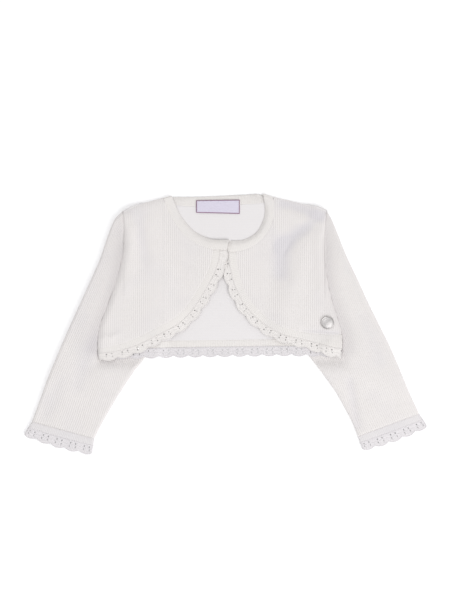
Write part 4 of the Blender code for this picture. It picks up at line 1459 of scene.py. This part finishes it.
# %% The charm
CHARM_RADIUS, CHARM_THICK, CHARM_RIM = 7.5, 2.2, 1.1
CHARM_FOOT = 0.02
CHARM_FACE = (
    (0.0, 1.25), (1.0, 1.27), (2.4, 1.34), (4.0, 1.5), (5.2, 1.68), (5.75, 1.74), (5.95, 1.7),
)  # fmt: skip
CHARM_PLACE = np.array((116.5, 1.0))
CHARM_CLEAR = 0.35  # the air under it
CHARM_STEPS = 96
WELD = 1e-5


def polished(name, colour, roughness):
    finish = Finish(name, Metallic=1.0, Base_Color=colour)
    finish.feed("Roughness", finish.noise(1.5, 6.0, 0.7) * 0.12 + roughness)
    return finish.material


charm_metal = polished("charm metal", (0.6, 0.58, 0.575), 0.26)


def charm_profile():
    profile = list(CHARM_FACE)
    tall, rim = CHARM_THICK / 2 - CHARM_FOOT, CHARM_RIM / 2
    for angle in np.linspace(math.pi, -math.pi / 2, 15):
        across = CHARM_RADIUS - rim + rim * math.cos(angle)
        profile.append((across, tall + tall * 0.98 * math.sin(angle)))
    return profile + [(3.0, CHARM_FOOT), (0.0, CHARM_FOOT)]


def charm():
    points = [(x * MM, 0, z * MM) for x, z in charm_profile()]
    mesh = bpy.data.meshes.new("charm_disc")
    mesh.from_pydata(points, [(i, i + 1) for i in range(len(points) - 1)], [])
    mesh.materials.append(charm_metal)
    piece = put("charm_disc", mesh)
    only(piece)
    turned = piece.modifiers.new("turned", "SCREW")
    turned.steps = turned.render_steps = CHARM_STEPS
    turned.use_merge_vertices = True
    turned.merge_threshold = WELD
    turned.use_normal_calculate = True
    bpy.ops.object.modifier_apply(modifier=turned.name)
    bpy.ops.object.mode_set(mode="EDIT")
    bpy.ops.mesh.select_all(action="SELECT")
    bpy.ops.mesh.normals_make_consistent(inside=False)
    bpy.ops.object.mode_set(mode="OBJECT")
    bpy.ops.object.shade_smooth()
    return piece


def seat(piece):
    """Tilts and lifts the disc so that it rests on the left front."""
    x, y = np.meshgrid((-1.0, 0.0, 1.0), (-1.0, 0.0, 1.0))
    under = CHARM_PLACE[0] + x * CHARM_RADIUS, CHARM_PLACE[1] + y * CHARM_RADIUS
    z = front_top("left", *under)
    rise_x, rise_y = z[1, 2] - z[1, 0], z[2, 1] - z[0, 1]
    slope = Vector((-rise_x, -rise_y, 2 * CHARM_RADIUS)).normalized()
    height = (z - (x * rise_x + y * rise_y) / 2).max() + CHARM_CLEAR
    piece.data.transform(slope.to_track_quat("Z", "Y").to_matrix().to_4x4())
    place = Vector((*(CHARM_PLACE - CENTRE), height)) * MM
    for vertex in piece.data.vertices:
        vertex.co += place
    print("The charm rests", round(float(height), 1), "mm high")


charm_piece = charm()
seat(charm_piece)

# %% [markdown]
# ## Joining the pieces to the frame
#
# The frame keeps the shapes that collide. Each soft piece hides the shape that it stands for and
# is put under the frame's root. The area it was cut to is printed beside half the area of its
# mesh, which has an upper and a lower face.


# %% Join the pieces to the frame
def declare(piece, node, cut, extra=()):
    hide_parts(node)
    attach(piece, "root")
    for part in extra:
        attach(part, "root")
    area = sum(face.area for face in piece.data.polygons) / 2
    print(piece.name, "is cut to", cut, "m2 and its mesh has", round(area, 4), "m2")


declare(back_piece, "back", 0.0400)
declare(fronts["right"], "front_right", 0.0136)
declare(fronts["left"], "front_left", 0.0126)
declare(sleeves["right"], "sleeve_right", 0.0375)
declare(sleeves["left"], "sleeve_left", 0.0350)
declare(neckband_piece, "neckband", 0.0036)
for side, width in (("right", 0.19), ("left", 0.18)):
    node, edge = "trim_front_" + side, [borders[side]]
    declare(bands[side], node, 0.0018, edge)
declare(bands["hem"], "trim_hem", 0.0026, [borders["hem"]])
for side in SIDES:
    band, edge = bands["cuff_" + side], [borders["cuff_" + side]]
    declare(band, "trim_cuff_" + side, 0.0013, edge)
declare(label_piece, "label", 0.00075)
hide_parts("charm")
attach(charm_piece, "root")

# %% [markdown]
# ## The table, the light and the camera
#
# The photograph was taken straight from above on a pure white table. Soft light comes from
# every side and a little more from beyond the hem, so the folds shade gently. The table also
# glows faintly, which keeps it white without more light on the knit. The camera keeps the
# photograph's scale: the lens is worked out from the height that the picture shows.

# %% The table
bpy.ops.object.select_all(action="DESELECT")
bpy.ops.mesh.primitive_plane_add(size=6, location=(0, 0, -0.0006))
table = bpy.context.object
table.name = "table"
glow = {"Emission_Color": (1.0, 1.0, 1.0), "Emission_Strength": 0.17}
matt = {"Roughness": 0.8, "Specular_IOR_Level": 0.1}
white = Finish("white table", Base_Color=(0.93, 0.93, 0.94), **matt, **glow)
table.data.materials.append(white.material)
print("The table is", round(table.dimensions.x, 1), "m wide")

# %% The light
world = bpy.data.worlds.new("studio")
bpy.context.scene.world = world
world.use_nodes = True
backdrop = world.node_tree.nodes["Background"]
backdrop.inputs["Color"].default_value = (1, 1, 1, 1)
backdrop.inputs["Strength"].default_value = 0.63


def soft_light(name, place, power, size):
    """A square lamp that faces the middle of the table, so many watts strong and metres wide."""
    data = bpy.data.lights.new(name, "AREA")
    data.energy = power
    data.size = size
    lamp = put(name, data)
    lamp.location = place
    lamp.rotation_euler = (-Vector(place)).to_track_quat("-Z", "Y").to_euler()


soft_light("key below the hem", (1.1, -1.2, 1.7), 26, 1.9)
soft_light("overhead", (-0.5, 0.5, 2.4), 9, 1.4)
print("The light from all round is", round(backdrop.inputs["Strength"].default_value, 2))

# %% The camera
PHOTO_HEIGHT = 0.69  # metres of table from the top of the picture to its foot
DISTANCE = 2.0
SENSOR = 36
camera_data = bpy.data.cameras.new("camera")
camera = put("camera", camera_data)
camera.location = (-0.0006, 0.0273, DISTANCE)
camera_data.sensor_fit = "VERTICAL"
camera_data.sensor_height = SENSOR
camera_data.lens = SENSOR * DISTANCE / PHOTO_HEIGHT
bpy.context.scene.camera = camera
bpy.context.scene.view_settings.view_transform = "Standard"
print("The lens is", round(camera_data.lens, 1), "mm")
